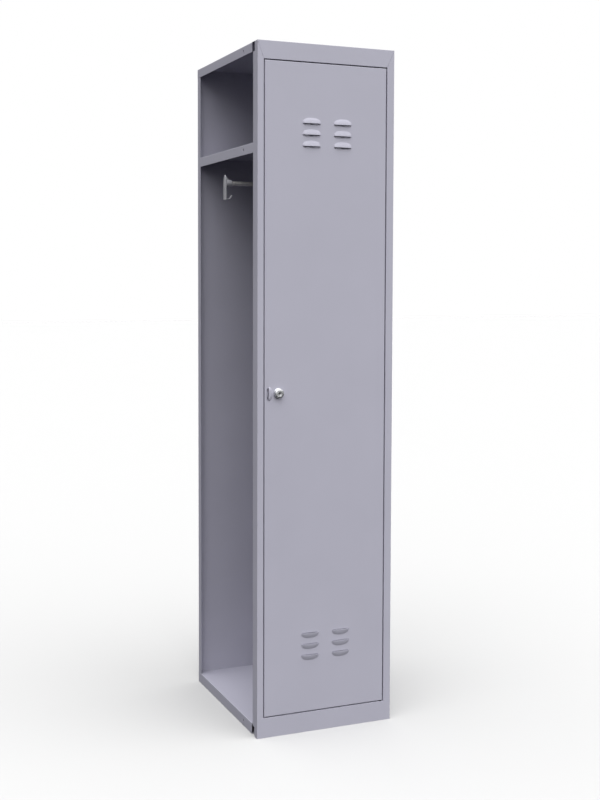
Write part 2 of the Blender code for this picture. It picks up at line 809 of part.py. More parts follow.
def make_pivot(name, frame_z, door_z, up, flange, door_axis):
    """Pin in the rail, bush and reinforcing plate in the door. up points from door to rail."""
    axis = Vector((0, 0, up))
    frame_face = at(PIVOT_X, PIVOT_Y, frame_z)
    head = SHEET + GAP
    pin_profile = [
        (0, head + PIN_HEAD),
        (PIN_HEAD_RADIUS, head + PIN_HEAD),
        (PIN_HEAD_RADIUS, head),
        (PIN_RADIUS, head),
        (PIN_RADIUS, -PIN_REACH),
        (0, -PIN_REACH),
    ]
    pin = add_object(name + "_hinge_pin", turned(pin_profile, frame_face, axis), ZINC)
    smooth(pin)

    door_face = at(PIVOT_X, PIVOT_Y, door_z)
    bore = PIN_RADIUS + RUNNING_CLEARANCE
    bush_profile = [
        (bore, GAP + flange),
        (BUSH_FLANGE_RADIUS, GAP + flange),
        (BUSH_FLANGE_RADIUS, GAP),
        (BUSH_RADIUS, GAP),
        (BUSH_RADIUS, -BUSH_LENGTH),
        (bore, -BUSH_LENGTH),
    ]
    bush = add_object(name + "_hinge_bush", turned(bush_profile, door_face, axis), DARK_PLASTIC, door_axis)
    smooth(bush)

    near, far = sorted((door_z - up * head, door_z - up * (head + HINGE_PLATE)))
    right = DOOR_RIGHT - SHEET - GAP
    plate_box = box(
        at(right - HINGE_PLATE_LENGTH, SHEET + GAP, near),
        at(right, DOOR_DEPTH - SHEET - GAP, far),
    )
    plate = add_object(name + "_hinge_plate", plate_box, ZINC, door_axis)
    start = at(PIVOT_X, PIVOT_Y, near - SHEET)
    hole = cylinder(BUSH_RADIUS + GAP, start, (0, 0, 1), HINGE_PLATE + 2 * SHEET)
    combine(plate, add_object(name + "_plate_hole", hole), "DIFFERENCE")


def make_door_buffers():
    """Rubber buttons pushed into the left stile's stop lip, just behind the closed door."""
    face = DOOR_DEPTH + GAP
    shoulder = REVEAL - GAP
    behind = REVEAL + SHEET + GAP
    profile = [
        (0, face),
        (BUFFER_RADIUS, face),
        (BUFFER_RADIUS, shoulder),
        (BUFFER_STEM, shoulder),
        (BUFFER_STEM, behind),
        (BUFFER_STEM + SHEET, behind),
        (BUFFER_STEM, behind + 2 * SHEET),
        (0, behind + 2 * SHEET),
    ]
    for name, height in BUFFER_HEIGHTS.items():
        button = turned(profile, at(BUFFER_X, 0, height), (0, 1, 0), SMALL_STEPS)
        smooth(add_object(name, button, RUBBER))


# ---------------------------------------------------------------- lock


def make_lock(door_axis, lock_axis):
    centre = at(LOCK_X, 0, LOCK_Z)
    backward = Vector((0, 1, 0))
    bore = PLUG_RADIUS + RUNNING_CLEARANCE
    barrel_end = CAM_BACK - GAP - SHEET
    housing_profile = [
        (bore, -LOCK_PROUD),
        (COLLAR_FACE_RADIUS, -LOCK_PROUD),
        (COLLAR_EDGE_RADIUS, -LOCK_PROUD + COLLAR_EDGE),
        (COLLAR_RADIUS, -LOCK_PROUD + COLLAR_TAPER),
        (COLLAR_RADIUS, -GAP),
        (BARREL_RADIUS, -GAP),
        (BARREL_RADIUS, barrel_end),
        (bore, barrel_end),
    ]
    housing = add_object("lock_housing", turned(housing_profile, centre, backward), CHROME, door_axis)
    smooth(housing)

    nut_front = SHEET + GAP
    nut_outer = cylinder(LOCK_NUT_RADIUS, centre + backward * nut_front, backward, LOCK_NUT_THICK, HEXAGON)
    nut = add_object("lock_nut", nut_outer, ZINC, door_axis)
    hole = cylinder(BARREL_RADIUS + GAP, centre, backward, nut_front + LOCK_NUT_THICK + SHEET)
    combine(nut, add_object("lock_nut_bore", hole), "DIFFERENCE")

    plug_face = -LOCK_PROUD + PLUG_RECESS
    plug_end = CAM_BACK - GAP
    nut_start = CAM_BACK + CAM_THICK + GAP
    stud_end = nut_start + CAM_NUT_THICK + SHEET
    plug_profile = [
        (0, plug_face),
        (PLUG_RADIUS, plug_face),
        (PLUG_RADIUS, plug_end),
        (STUD_RADIUS, plug_end),
        (STUD_RADIUS, stud_end),
        (0, stud_end),
    ]
    plug = add_object("lock_plug", turned(plug_profile, centre, backward), CHROME, lock_axis)
    width, height, deep = KEYWAY
    low = centre + Vector((-width / 2, plug_face - SHEET, -height / 2))
    keyway = box(low, low + Vector((width, deep + SHEET, height)))
    combine(plug, add_object("keyway", keyway), "DIFFERENCE")
    smooth(plug)

    half = CAM_WIDTH / 2
    cam_outline = [(-half, -half), (half, -half)]
    tip = CAM_LENGTH - half
    for step in range(CAM_STEPS + 1):
        angle = math.pi * step / CAM_STEPS
        cam_outline.append((half * math.cos(angle), tip + half * math.sin(angle)))
    corners = [centre + Vector((x, CAM_BACK, z)) for x, z in cam_outline]
    cam = add_object("lock_cam", prism(corners, backward * CAM_THICK), ZINC, lock_axis)
    hole = cylinder(STUD_RADIUS + GAP, centre, backward, stud_end)
    combine(cam, add_object("cam_hole", hole), "DIFFERENCE")

    nut_body = cylinder(CAM_NUT_RADIUS, centre + backward * nut_start, backward, CAM_NUT_THICK, HEXAGON)
    cam_nut = add_object("cam_nut", nut_body, ZINC, lock_axis)
    hole = cylinder(STUD_RADIUS + GAP, centre, backward, stud_end + SHEET)
    combine(cam_nut, add_object("cam_nut_bore", hole), "DIFFERENCE")


def main():
    clear_scene()

    make_left_stile()
    make_right_stile()
    make_top_rail()
    make_bottom_rail()
    make_right_side_panel()
    make_back_panel()
    make_roof_panel()
    make_floor_panel()
    make_hat_shelf()

    right_wall = WIDTH - SHEET - GAP
    make_hanger_rod()
    make_rod_bracket("rod_bracket_left", GAP, 1)
    make_rod_bracket("rod_bracket_right", right_wall, -1)
    make_bracket_screws(right_wall)

    door_axis = add_axis("door_axis", at(PIVOT_X, PIVOT_Y, HEIGHT / 2))
    make_door_panel(door_axis)
    make_door_stiffener(door_axis)
    make_pivot("upper", HEIGHT - TOP_RAIL, DOOR_TOP, 1, UPPER_BUSH_FLANGE, door_axis)
    make_pivot("lower", BOTTOM_RAIL, DOOR_BOTTOM, -1, LOWER_BUSH_FLANGE, door_axis)
    make_door_buffers()

    lock_axis = add_axis("lock_axis", at(LOCK_X, 0, LOCK_Z), door_axis)
    make_lock(door_axis, lock_axis)


main()
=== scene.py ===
"""Looks of the add-on locker section: every folded sheet, fitting and lock piece in full detail.

The pieces are folded, pressed and turned to the places of the packed model's nodes, and ride
on its bodies. Lengths are metres. Points on the cabinet are given from its left side, back
from its front face and up from the floor.
"""

import math

import bmesh
import bpy
from bpy.props import FloatProperty, FloatVectorProperty, IntProperty, PointerProperty
from mathutils import Matrix, Vector


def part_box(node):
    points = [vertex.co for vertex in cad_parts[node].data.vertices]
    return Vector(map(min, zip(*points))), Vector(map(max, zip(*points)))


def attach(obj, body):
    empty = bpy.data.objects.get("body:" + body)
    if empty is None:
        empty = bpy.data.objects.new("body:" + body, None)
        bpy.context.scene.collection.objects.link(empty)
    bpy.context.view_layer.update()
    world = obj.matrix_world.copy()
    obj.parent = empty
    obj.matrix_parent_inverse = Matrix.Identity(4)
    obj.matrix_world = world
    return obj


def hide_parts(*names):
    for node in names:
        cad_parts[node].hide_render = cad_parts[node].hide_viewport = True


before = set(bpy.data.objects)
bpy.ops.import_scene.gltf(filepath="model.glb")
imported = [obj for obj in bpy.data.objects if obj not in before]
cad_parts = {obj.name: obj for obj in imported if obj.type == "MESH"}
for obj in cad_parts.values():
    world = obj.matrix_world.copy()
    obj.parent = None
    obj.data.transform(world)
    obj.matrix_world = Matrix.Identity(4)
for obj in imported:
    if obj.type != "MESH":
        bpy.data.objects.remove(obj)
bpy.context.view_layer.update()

bl_info = {
    "name": "Locker Section",
    "version": (1, 0, 0),
    "blender": (4, 5, 0),
    "location": "View3D > Sidebar > Locker",
    "description": "Builds an add-on section of a steel wardrobe locker with one pivoted door",
    "category": "Object",
}

MM = 0.001
TINY = 1e-5
ON_PLANE = 1e-7
MERGE_DISTANCE = 1e-6
BEYOND = 1
NEARLY_ONE = 0.99

# Places taken from the packed model
STILE_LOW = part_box("left_stile")[0]
SIDE_LOW, SIDE_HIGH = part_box("right_side_panel")
BACK_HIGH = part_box("back_panel")[1]
ROOF_LOW, ROOF_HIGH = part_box("roof_panel")
FLOOR_LOW, FLOOR_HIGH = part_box("floor_panel")
SHELF_LOW, SHELF_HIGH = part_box("hat_shelf")
RAIL_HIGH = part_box("bottom_rail")[1]
DOOR_LOW, DOOR_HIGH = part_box("door_panel")
STIFFENER_LOW, STIFFENER_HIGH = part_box("door_stiffener")
ROD_LOW, ROD_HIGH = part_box("hanger_rod")
ROD = (ROD_LOW + ROD_HIGH) / 2
SCREWS = ("bracket_screw_upper", "bracket_screw_lower")

LEFT_X = STILE_LOW.x
FRONT_Y = STILE_LOW.y
WIDTH = SIDE_HIGH.x - LEFT_X
DEPTH = BACK_HIGH.y - FRONT_Y
HEIGHT = SIDE_HIGH.z
LINER_X = BACK_HIGH.x - LEFT_X
LINER_Y = ROOF_HIGH.y - FRONT_Y
DOOR_LEFT = DOOR_LOW.x - LEFT_X
DOOR_RIGHT = DOOR_HIGH.x - LEFT_X

# Folds of the roof, floor and shelf
SEAM_GAP = 0.3 * MM
RETURN_GAP = 0.8 * MM
FLANGE_SETBACK = 1.3 * MM
ROOF_FLANGE_START = 41.5 * MM
FLOOR_FLANGE_START = 41 * MM
FLANGE_END = DEPTH - 3 * MM
REAR_DROP = 0.8
FLOOR_FOOT = 12 * MM
SHELF_RETURN = 10 * MM
STIFFENER_FOOT = 7 * MM
SCREW_HOLE = 2.05 * MM
HOLE_PATCH = 1.5

# Pressed forms: the area worked round each, and the powers of their curves
FORM_MARGIN = 4 * MM
LONG_STEP = 1.3
END_POWER, CROWN_POWER = 4, 2.4
SLOPE_POWER, SLOPE_ROOT = 1.4, 1.25
SLIT_POWER = 6

# Moulded rail brackets
TIP_SHARE = 0.3
ROD_PLAY = 0.15 * MM
COLLAR_FLARE = 0.3 * MM
RIB_INSET = 1 * MM
RIB_REACH = 0.75
HOOK_SPINE = ((0.45, 0.4 * MM), (0.75, 2.4 * MM), (0.95, 6 * MM), (1.03, 11 * MM))
HOOK_END = 1.25
WALL_OVERCUT = 1 * MM
SMOOTHINGS = 3

# Outlines of turned parts, as (radius, distance along the axis)
COUNTERSINK = (
    (0, 0),
    (1.9 * MM, 0),
    (1.9 * MM, 2 * MM),
    (3.6 * MM, 3.8 * MM),
    (3.6 * MM, 6 * MM),
    (0, 6 * MM),
)
COLLAR_INSETS = (
    (3.2 * MM, 0),
    (2.0 * MM, 0.45 * MM),
    (1.3 * MM, 1.4 * MM),
)
COLLAR_ROOT = (
    (1.1 * MM, -2.6 * MM),
    (0.25 * MM, -2.0 * MM),
    (0, -1.6 * MM),
    (0, -0.1 * MM),
)

# The same as shares of the part's own radius and length
BUFFER_OUTLINE = (
    (0, 0),
    (0.82, 0),
    (1, 0.35),
    (1, 0.4),
    (0.49, 0.4),
    (0.49, 0.66),
    (0.784, 0.68),
    (0.343, 1),
    (0, 1),
)

# Screws and lock
SCREW_CROWN, CROWN_DROP, HEAD_EDGE = 0.7, 0.05 * MM, 0.35 * MM
SHANK_SHARE, TAPER_END = 0.52, 2 * MM
CROSS_ARMS = ((2.4 * MM, 3.04 * MM, 0.8 * MM), (2.4 * MM, 0.8 * MM, 3.04 * MM))
BARREL_RADIUS = 9.2 * MM
LOCK_HOLE = 9.5 * MM
PLUG_PLAY = 0.12 * MM
BORE_CHAMFER = 0.5 * MM
BORE_STEP = 3 * MM
THREAD_PLAY = 0.1 * MM
CAM_SEAT = 0.1 * MM
DISH, DISH_INNER, DISH_OUTER = 0.35 * MM, 0.62, 0.72
PLUG_CHAMFER = 0.3 * MM
STUD_CHAMFER = 0.5 * MM
KEYWAY_LENGTH = 14 * MM
WARD_SIZE = (3.2 * MM, 13.6 * MM, 1.6 * MM)
WARD_PLACE = Vector((0.5 * MM, 0, -1.4 * MM))

# How a part's edges are rounded: width, least angle in degrees, segments
ROD_EDGE = 0.2 * MM, 40, 2
SCREW_EDGE = 0.1 * MM, 40, 2
BUFFER_EDGE = 0.3 * MM, 30, 3
NUT_EDGE = 0.35 * MM, 50, 2
HOUSING_EDGE = 0.22 * MM, 25, 3
PLUG_EDGE = 0.1 * MM, 25, 2
CAM_EDGE = 0.3 * MM, 60, 2
PLATE_EDGE = 0.5 * MM, 40, 2

# Lights as azimuth, elevation and spread in degrees, and the camera
KEY_LIGHT = (-8, 48, 100)
SIDE_LIGHT = (85, 78, 70)
LIGHT_DISTANCE = 6
HORIZON, OVERHEAD = -0.3, 0.9
SENSOR_WIDTH = 36
CAMERA_SHIFT = (0.0224, -0.0689)
CAMERA_PLACE = (-1.3306, -3.1816, 1.2398)
CAMERA_ANGLES = (86.785, -0.115, -22.236)

# Where a flat blank lies: its u, v and outward n axes in the cabinet
FRONT = Matrix(((1, 0, 0, LEFT_X), (0, 0, -1, FRONT_Y), (0, 1, 0, 0), (0, 0, 0, 1)))
RIGHT = Matrix(((0, 0, 1, LEFT_X + WIDTH), (1, 0, 0, FRONT_Y), (0, 1, 0, 0), (0, 0, 0, 1)))
REAR = Matrix(((0, 1, 0, LEFT_X), (0, 0, 1, BACK_HIGH.y), (1, 0, 0, 0), (0, 0, 0, 1)))
LEVEL = Matrix(((1, 0, 0, LEFT_X), (0, 1, 0, FRONT_Y), (0, 0, 1, 0), (0, 0, 0, 1)))


def linear(code):
    """A colour's linear values from its sRGB hex code."""
    channels = [int(code[place : place + 2], 16) / 255 for place in (1, 3, 5)]
    return tuple(c / 12.92 if c <= 0.04045 else ((c + 0.055) / 1.055) ** 2.4 for c in channels)


# ---------------------------------------------------------------- sizes and colours


def length(name, description, default):
    return FloatProperty(name=name, description=description, default=default, min=0, unit="LENGTH")


def amount(name, description, default):
    return FloatProperty(name=name, description=description, default=default, min=0)


def colour(name, description, code):
    return FloatVectorProperty(
        name=name, description=description, default=linear(code), min=0, max=1, subtype="COLOR"
    )


class LockerSheetSizes(bpy.types.PropertyGroup):
    """Sizes of the folded carcass sheets."""

    thickness: length("Sheet", "Thickness of the steel sheet", 1.0 * MM)
    bend: length("Bend radius", "Outer radius of a fold", 1.6 * MM)
    cut_edge: length("Cut edge", "Rounding that the coating leaves on a cut edge", 0.14 * MM)
    door_gap: length("Door gap", "Gap between the door and its frame", 3.0 * MM)
    reveal: length("Reveal", "Depth of the frame's inner face", 21 * MM)
    stop_lip: length("Stop lip", "Width of the lip behind the door", 12 * MM)
    left_return: length("Left return", "Depth of the left stile's outer face", 33 * MM)
    corner_notch: length("Corner notch", "Height of the notches in the left return", 26 * MM)
    seam: length("Mitre seam", "Gap along the mitres of the top rail", 0.5 * MM)
    edge_flange: length("Edge flange", "Width of the roof's flanges", 25 * MM)
    back_return: length("Back return", "Width of the back panel's side returns", 25 * MM)
    relief: length("Corner relief", "Size of the notch where two folds meet", 2 * MM)
    hole_radius: length("Joining hole", "Radius of the holes for joining two lockers", 3.2 * MM)
    hole_back: length("Joining hole place", "Distance of those holes from the front", 106 * MM)


class LockerDoorSizes(bpy.types.PropertyGroup):
    """Sizes of the door leaf and of what is pressed into it."""

    lip: length("Lip", "Width of the lips turned in behind the door", 12 * MM)
    louvre_width: length("Louvre width", "Length of a louvre's opening edge", 52 * MM)
    louvre_rise: length("Louvre rise", "Height of a louvre", 14.5 * MM)
    louvre_depth: length("Louvre depth", "How far a louvre stands out", 4.8 * MM)
    upper_slit: length("Upper slit", "Gap at the cut of an upper louvre", 4.2 * MM)
    lower_slit: length("Lower slit", "Gap at the cut of a lower louvre", 0.5 * MM)
    pull_slit: length("Pull slit", "Gap at the cut of the finger pull", 4.5 * MM)
    louvre_pitch: length("Louvre pitch", "Distance between two rows", 30.2 * MM)
    louvre_left: length("Left column", "Centre of the left column", 154.5 * MM)
    louvre_right: length("Right column", "Centre of the right column", 245.5 * MM)
    louvre_rows: IntProperty(name="Rows", description="Louvres in a column", default=3, min=1)
    upper_edge: length("Upper group", "Height of the top louvre's opening edge", 1650.5 * MM)
    lower_edge: length("Lower group", "Height of the bottom louvre's opening edge", 213.7 * MM)
    pull_edge: length("Pull", "Distance of the finger pull's opening from the left", 31 * MM)
    pull_height: length("Pull height", "Height of the finger pull", 36 * MM)
    pull_rise: length("Pull width", "Width of the finger pull", 11.5 * MM)
    pull_centre: length("Pull centre", "Height of the finger pull's centre", 931.7 * MM)
    mesh_step: length("Mesh step", "Distance of the mesh lines in a pressed form", 1.1 * MM)


class LockerFittingSizes(bpy.types.PropertyGroup):
    """Sizes of the clothes rail, its brackets, the lock and the buffers."""

    rod_wall: length("Rod wall", "Wall of the clothes rail", 1.0 * MM)
    bracket_plate: length("Bracket plate", "Thickness of a bracket's plate", 3 * MM)
    bracket_shoulder: length("Bracket shoulder", "Height where the taper starts", 1517 * MM)
    bracket_tip: length("Bracket tip", "Height of the plate's pointed top", 1529.5 * MM)
    bracket_voxel: length("Bracket mesh", "Fineness of the moulded brackets", 0.55 * MM)
    collar_radius: length("Bracket collar", "Outer radius of the collar round the rod", 9.5 * MM)
    collar_reach: length("Collar reach", "How far the collar stands off the wall", 20 * MM)
    hook_width: length("Hook width", "Width of the coat hook", 9 * MM)
    hook_thickness: length("Hook thickness", "Thickness of the coat hook", 3 * MM)
    plug_radius: length("Plug radius", "Radius of the lock's plug", 6 * MM)
    stud_radius: length("Stud radius", "Radius of the threaded stud behind the plug", 3 * MM)
    keyway_height: length("Keyway height", "Height of the key slot", 8 * MM)
    keyway_width: length("Keyway width", "Width of the key slot", 1.8 * MM)


class LockerFinishes(bpy.types.PropertyGroup):
    """Colours of the finishes, and the size of the coating's orange peel."""

    coat: colour("Powder coat", "Lavender grey of the coated steel", "#AEADBB")
    zinc: colour("Zinc plate", "Dull zinc on the rail and small parts", "#E4E3E0")
    chrome: colour("Chrome", "Chrome plate on the lock", "#DCDDE0")
    plastic: colour("Bracket plastic", "Light grey of the moulded brackets", "#A6A6AC")
    bush: colour("Bush plastic", "Black of the pivot bushes", "#242427")
    rubber: colour("Rubber", "Black of the buffers", "#1C1C1E")
    peel: length("Orange peel", "Wave length of the coating's surface", 1.8 * MM)


class LockerStudio(bpy.types.PropertyGroup):
    """Floor, lights and camera."""

    floor: colour("Floor", "Colour of the studio floor", "#C2C2C2")
    floor_size: length("Floor size", "Side of the floor", 60.0)
    sky: amount("Sky", "Light from above all round", 0.8)
    below: amount("Below", "Light from under the horizon", 0.03)
    key: amount("Key light", "Soft light above the front", 2.75)
    side: amount("Side light", "Soft light high on the left", 1.8)
    lens: amount("Lens", "Focal length in millimetres", 53.68)


SETTINGS = {
    "locker_sheet": LockerSheetSizes,
    "locker_door": LockerDoorSizes,
    "locker_fittings": LockerFittingSizes,
    "locker_finishes": LockerFinishes,
    "locker_studio": LockerStudio,
}


# ---------------------------------------------------------------- finishes


def add_node(tree, kind, inputs=(), links=(), **settings):
    """Adds a shader node, with its settings, its sockets' values and its links."""
    node = tree.nodes.new("ShaderNode" + kind)
    for name, value in settings.items():
        setattr(node, name, value)
    for socket, value in dict(inputs).items():
        node.inputs[socket].default_value = value
    for socket, source in dict(links).items():
        tree.links.new(source, node.inputs[socket])
    return node


def start_finish(name, values):
    """A new material, its tree, its shader with these values, and its object coordinates."""
    material = bpy.data.materials.new(name)
    material.use_nodes = True
    tree = material.node_tree
    shader = tree.nodes["Principled BSDF"]
    for socket, value in values.items():
        shader.inputs[socket].default_value = value
    places = add_node(tree, "TexCoord").outputs["Object"]
    return material, tree, shader, places


def shade(rgb, factor):
    return (*(min(channel * factor, 1.0) for channel in rgb), 1.0)


def vary(tree, shader, colour, tint, sheen, relief):
    """Lets patterns vary a finish's colour, its roughness and its height.

    tint is (pattern, range, factors on the colour), sheen is (pattern, range, roughness), and
    relief is (pattern, strength, depth).
    """
    pattern, ends, factors = tint
    blend = add_node(tree, "ValToRGB", {}, {"Fac": pattern})
    for index, element in enumerate(blend.color_ramp.elements):
        element.position = ends[index]
        element.color = shade(colour, factors[index])
    tree.links.new(blend.outputs["Color"], shader.inputs["Base Color"])
    pattern, (low, high), (smooth, dull) = sheen
    limits = {"From Min": low, "From Max": high, "To Min": smooth, "To Max": dull}
    rough = add_node(tree, "MapRange", limits, {"Value": pattern})
    tree.links.new(rough.outputs["Result"], shader.inputs["Roughness"])
    pattern, strength, depth = relief
    bump = add_node(tree, "Bump", {"Strength": strength, "Distance": depth}, {"Height": pattern})
    tree.links.new(bump.outputs["Normal"], shader.inputs["Normal"])


def powder_coat(finishes):
    """Satin polyester powder, sprayed dry on steel sheet and baked.

    The eye sees an even lavender grey with a soft sheen. Close up there is a fine orange peel,
    and a faint mottle where the powder lies a little thicker.
    """
    material, tree, shader, places = start_finish(
        "satin_powder_coat", {"IOR": 1.5, "Specular IOR Level": 0.42}
    )
    where = {"Vector": places}
    cloud = add_node(tree, "TexNoise", {"Scale": 1 / (160 * MM), "Detail": 2.0}, where).outputs[0]
    grain = add_node(tree, "TexNoise", {"Scale": 1 / (0.9 * MM), "Detail": 1.0}, where).outputs[0]
    both = add_node(tree, "Math", {1: 0.35}, {0: grain, 2: cloud}, operation="MULTIPLY_ADD")
    peel = add_node(tree, "TexNoise", {"Scale": 1 / finishes.peel, "Detail": 1.5}, where)
    vary(
        tree,
        shader,
        finishes.coat,
        (both.outputs[0], (0.35, 1.0), (0.975, 1.025)),
        (cloud, (0.3, 0.7), (0.46, 0.54)),
        (peel.outputs[0], 0.35, 0.03 * MM),
    )
    return material


def zinc_plate(finishes):
    """Drawn steel with dull zinc plating, passivated clear.

    The eye sees a warm pale metal that mirrors nothing sharply, with fine lines along the drawn
    length and slightly cloudy patches.
    """
    material, tree, shader, places = start_finish("dull_zinc_plate", {"Metallic": 1.0})
    drawn = add_node(tree, "Mapping", {"Scale": (0.03, 1.0, 1.0)}, {"Vector": places})
    along = {"Vector": drawn.outputs[0]}
    lines = add_node(tree, "TexNoise", {"Scale": 1 / (0.7 * MM), "Detail": 2.0}, along).outputs[0]
    where = {"Vector": places}
    cloud = add_node(tree, "TexNoise", {"Scale": 1 / (6 * MM), "Detail": 3.0}, where).outputs[0]
    vary(
        tree,
        shader,
        finishes.zinc,
        (cloud, (0.3, 0.7), (0.86, 1.04)),
        (lines, (0.3, 0.7), (0.54, 0.68)),
        (lines, 0.3, 0.02 * MM),
    )
    return material


def chrome_plate(finishes):
    """Zinc die casting with chrome plate, dulled by years of keys and hands.

    The eye sees a bright metal with soft-edged light and dark shapes. Buffing leaves it a little
    wavy, and handling smears it faintly.
    """
    material, tree, shader, places = start_finish("polished_chrome", {"Metallic": 1.0})
    where = {"Vector": places}
    smear = add_node(
        tree, "TexNoise", {"Scale": 1 / (8 * MM), "Detail": 4.0, "Distortion": 0.6}, where
    ).outputs[0]
    waves = add_node(tree, "TexNoise", {"Scale": 1 / (5 * MM), "Detail": 0.0}, where)
    vary(
        tree,
        shader,
        finishes.chrome,
        (smear, (0.35, 0.65), (0.93, 1.0)),
        (smear, (0.35, 0.7), (0.2, 0.3)),
        (waves.outputs[0], 0.25, 0.04 * MM),
    )
    return material


def moulded_polyamide(name, plastic):
    """Injection-moulded polyamide with a spark-eroded mould surface.

    The eye sees its pigment, with a slight glow at thin places and a fine matt grain.
    """
    material, tree, shader, places = start_finish(
        name,
        {
            "IOR": 1.53,
            "Subsurface Weight": 0.08,
            "Subsurface Scale": 2 * MM,
            "Subsurface Radius": (1.0, 0.95, 0.9),
        },
    )
    where = {"Vector": places}
    flow = add_node(tree, "TexNoise", {"Scale": 1 / (20 * MM), "Detail": 2.0}, where).outputs[0]
    grain = add_node(tree, "TexNoise", {"Scale": 1 / (0.5 * MM), "Detail": 2.0}, where).outputs[0]
    vary(
        tree,
        shader,
        plastic,
        (flow, (0.3, 0.7), (0.95, 1.03)),
        (grain, (0.3, 0.7), (0.36, 0.5)),
        (grain, 0.3, 0.03 * MM),
    )
    return material


def grey_polyamide(finishes):
    """The brackets' polyamide, which the eye sees as a light grey."""
    return moulded_polyamide("moulded_grey_polyamide", finishes.plastic)


def black_polyamide(finishes):
    """The pivot bushes' polyamide, which the eye sees as a greyish black."""
    return moulded_polyamide("moulded_black_polyamide", finishes.bush)


def buffer_rubber(finishes):
    """Moulded EPDM rubber.

    The eye sees a deep matt black with a dusty bloom on it.
    """
    material, tree, shader, places = start_finish(
        "black_epdm_rubber", {"IOR": 1.5, "Specular IOR Level": 0.3}
    )
    bloom = add_node(
        tree, "TexNoise", {"Scale": 1 / (1.2 * MM), "Detail": 4.0}, {"Vector": places}
    ).outputs[0]
    vary(
        tree,
        shader,
        finishes.rubber,
        (bloom, (0.35, 0.75), (0.8, 1.8)),
        (bloom, (0.3, 0.7), (0.65, 0.85)),
        (bloom, 0.4, 0.03 * MM),
    )
    return material


MAKERS = {
    "powder_coat": powder_coat,
    "zinc_steel": zinc_plate,
    "chrome": chrome_plate,
    "grey_plastic": grey_polyamide,
    "black_plastic": black_polyamide,
    "black_rubber": buffer_rubber,
}
MADE = {}


def finish_for(slot):
    """The finish of one of the record's material slots, made once."""
    if slot not in MADE:
        MADE[slot] = MAKERS[slot](bpy.context.scene.locker_finishes)
    return MADE[slot]


# ---------------------------------------------------------------- pieces


def object_of(name, bm):
    """Turns a bmesh into an object in the scene."""
    mesh = bpy.data.meshes.new(name)
    bm.to_mesh(mesh)
    bm.free()
    obj = bpy.data.objects.new(name, mesh)
    bpy.context.scene.collection.objects.link(obj)
    return obj


def add_piece(bm, body, slot, replaces, name=None, thickness=0.0, edge=0.0, even=True):
    """Makes a bmesh a finished piece that rides on a body in place of its CAD nodes."""
    obj = object_of(name or replaces[0] + "_visual", bm)
    obj.data.materials.append(finish_for(slot))
    obj.data.shade_smooth()
    if thickness:
        wall = obj.modifiers.new("Sheet", "SOLIDIFY")
        wall.thickness = thickness
        wall.offset = -1
        wall.use_even_offset = even
        wall.use_quality_normals = True
    if edge:
        rounding = obj.modifiers.new("Cut edge", "BEVEL")
        rounding.width = edge
        rounding.segments = 2
        rounding.limit_method = "ANGLE"
        rounding.angle_limit = math.radians(40)
    normals = obj.modifiers.new("Flat faces", "WEIGHTED_NORMAL")
    normals.keep_sharp = True
    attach(obj, body)
    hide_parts(*replaces)


def refinish(slot, *nodes):
    """Gives CAD nodes that stay the finish of their slot."""
    for name in nodes:
        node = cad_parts[name]
        node.data.materials.clear()
        node.data.materials.append(finish_for(slot))


def middle_of(node):
    """The middle of a node's box."""
    low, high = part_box(node)
    return (low + high) / 2


def round_part(node, axis):
    """A round node's start on its axis (0 for x, 1 for y), its radius and its length."""
    low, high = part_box(node)
    start = (low + high) / 2
    start[axis] = low[axis]
    return start, (high[axis - 1] - low[axis - 1]) / 2, high[axis] - low[axis]


def only(kind, items):
    """The items of this kind."""
    return [item for item in items if isinstance(item, kind)]


# ---------------------------------------------------------------- sheet metal


def flat_sheet(low, high):
    """A flat blank in its own plane, from one (u, v) corner to the other."""
    bm = bmesh.new()
    bmesh.ops.create_grid(bm, x_segments=1, y_segments=1, size=0.5)
    size = (high[0] - low[0], high[1] - low[1], 1)
    middle = ((low[0] + high[0]) / 2, (low[1] + high[1]) / 2, 0)
    bmesh.ops.scale(bm, vec=size, verts=bm.verts)
    bmesh.ops.translate(bm, vec=middle, verts=bm.verts)
    return bm


def with_rims(faces):
    """These faces with their edges and corners."""
    edges = {edge for face in faces for edge in face.edges}
    verts = {vert for face in faces for vert in face.verts}
    return list(verts) + list(edges) + list(faces)


def score(bm, us=(), vs=(), faces=None):
    """Divides the blank's faces along lines of constant u and of constant v."""
    geom = with_rims(bm.faces[:] if faces is None else faces)
    for axis, values in ((0, us), (1, vs)):
        normal = Vector((0, 0, 0))
        normal[axis] = 1.0
        for value in values:
            geom = bmesh.ops.bisect_plane(
                bm, geom=geom, dist=ON_PLANE, plane_co=normal * value, plane_no=normal
            )["geom"]
    return only(bmesh.types.BMFace, geom)


def faces_between(bm, low, high):
    """The flat faces whose middle lies between these (u, v) corners."""
    found = []
    for face in bm.faces:
        middle = face.calc_center_median()
        if low[0] < middle.x < high[0] and low[1] < middle.y < high[1]:
            found.append(face)
    return found


def cut_out(bm, low, high):
    bmesh.ops.delete(bm, geom=faces_between(bm, low, high), context="FACES")


def rim(bm, axis, value, low=-math.inf, high=math.inf):
    """The blank's outer edges on the line where u (axis 0) or v (axis 1) has this value."""
    found = []
    for edge in bm.edges:
        first, second = (vert.co for vert in edge.verts)
        on_line = abs(first[axis] - value) < TINY and abs(second[axis] - value) < TINY
        flat = abs(first.z) < TINY and abs(second.z) < TINY
        if edge.is_boundary and on_line and flat and low < (first + second)[1 - axis] / 2 < high:
            found.append(edge)
    return found


def extend(bm, edges):
    """Adds a strip of sheet of no width on these edges: (its outer edges, its outer corners)."""
    made = bmesh.ops.extrude_edge_only(bm, edges=edges)["geom"]
    verts = only(bmesh.types.BMVert, made)
    outer = set(verts)
    return [edge for edge in only(bmesh.types.BMEdge, made) if set(edge.verts) <= outer], verts


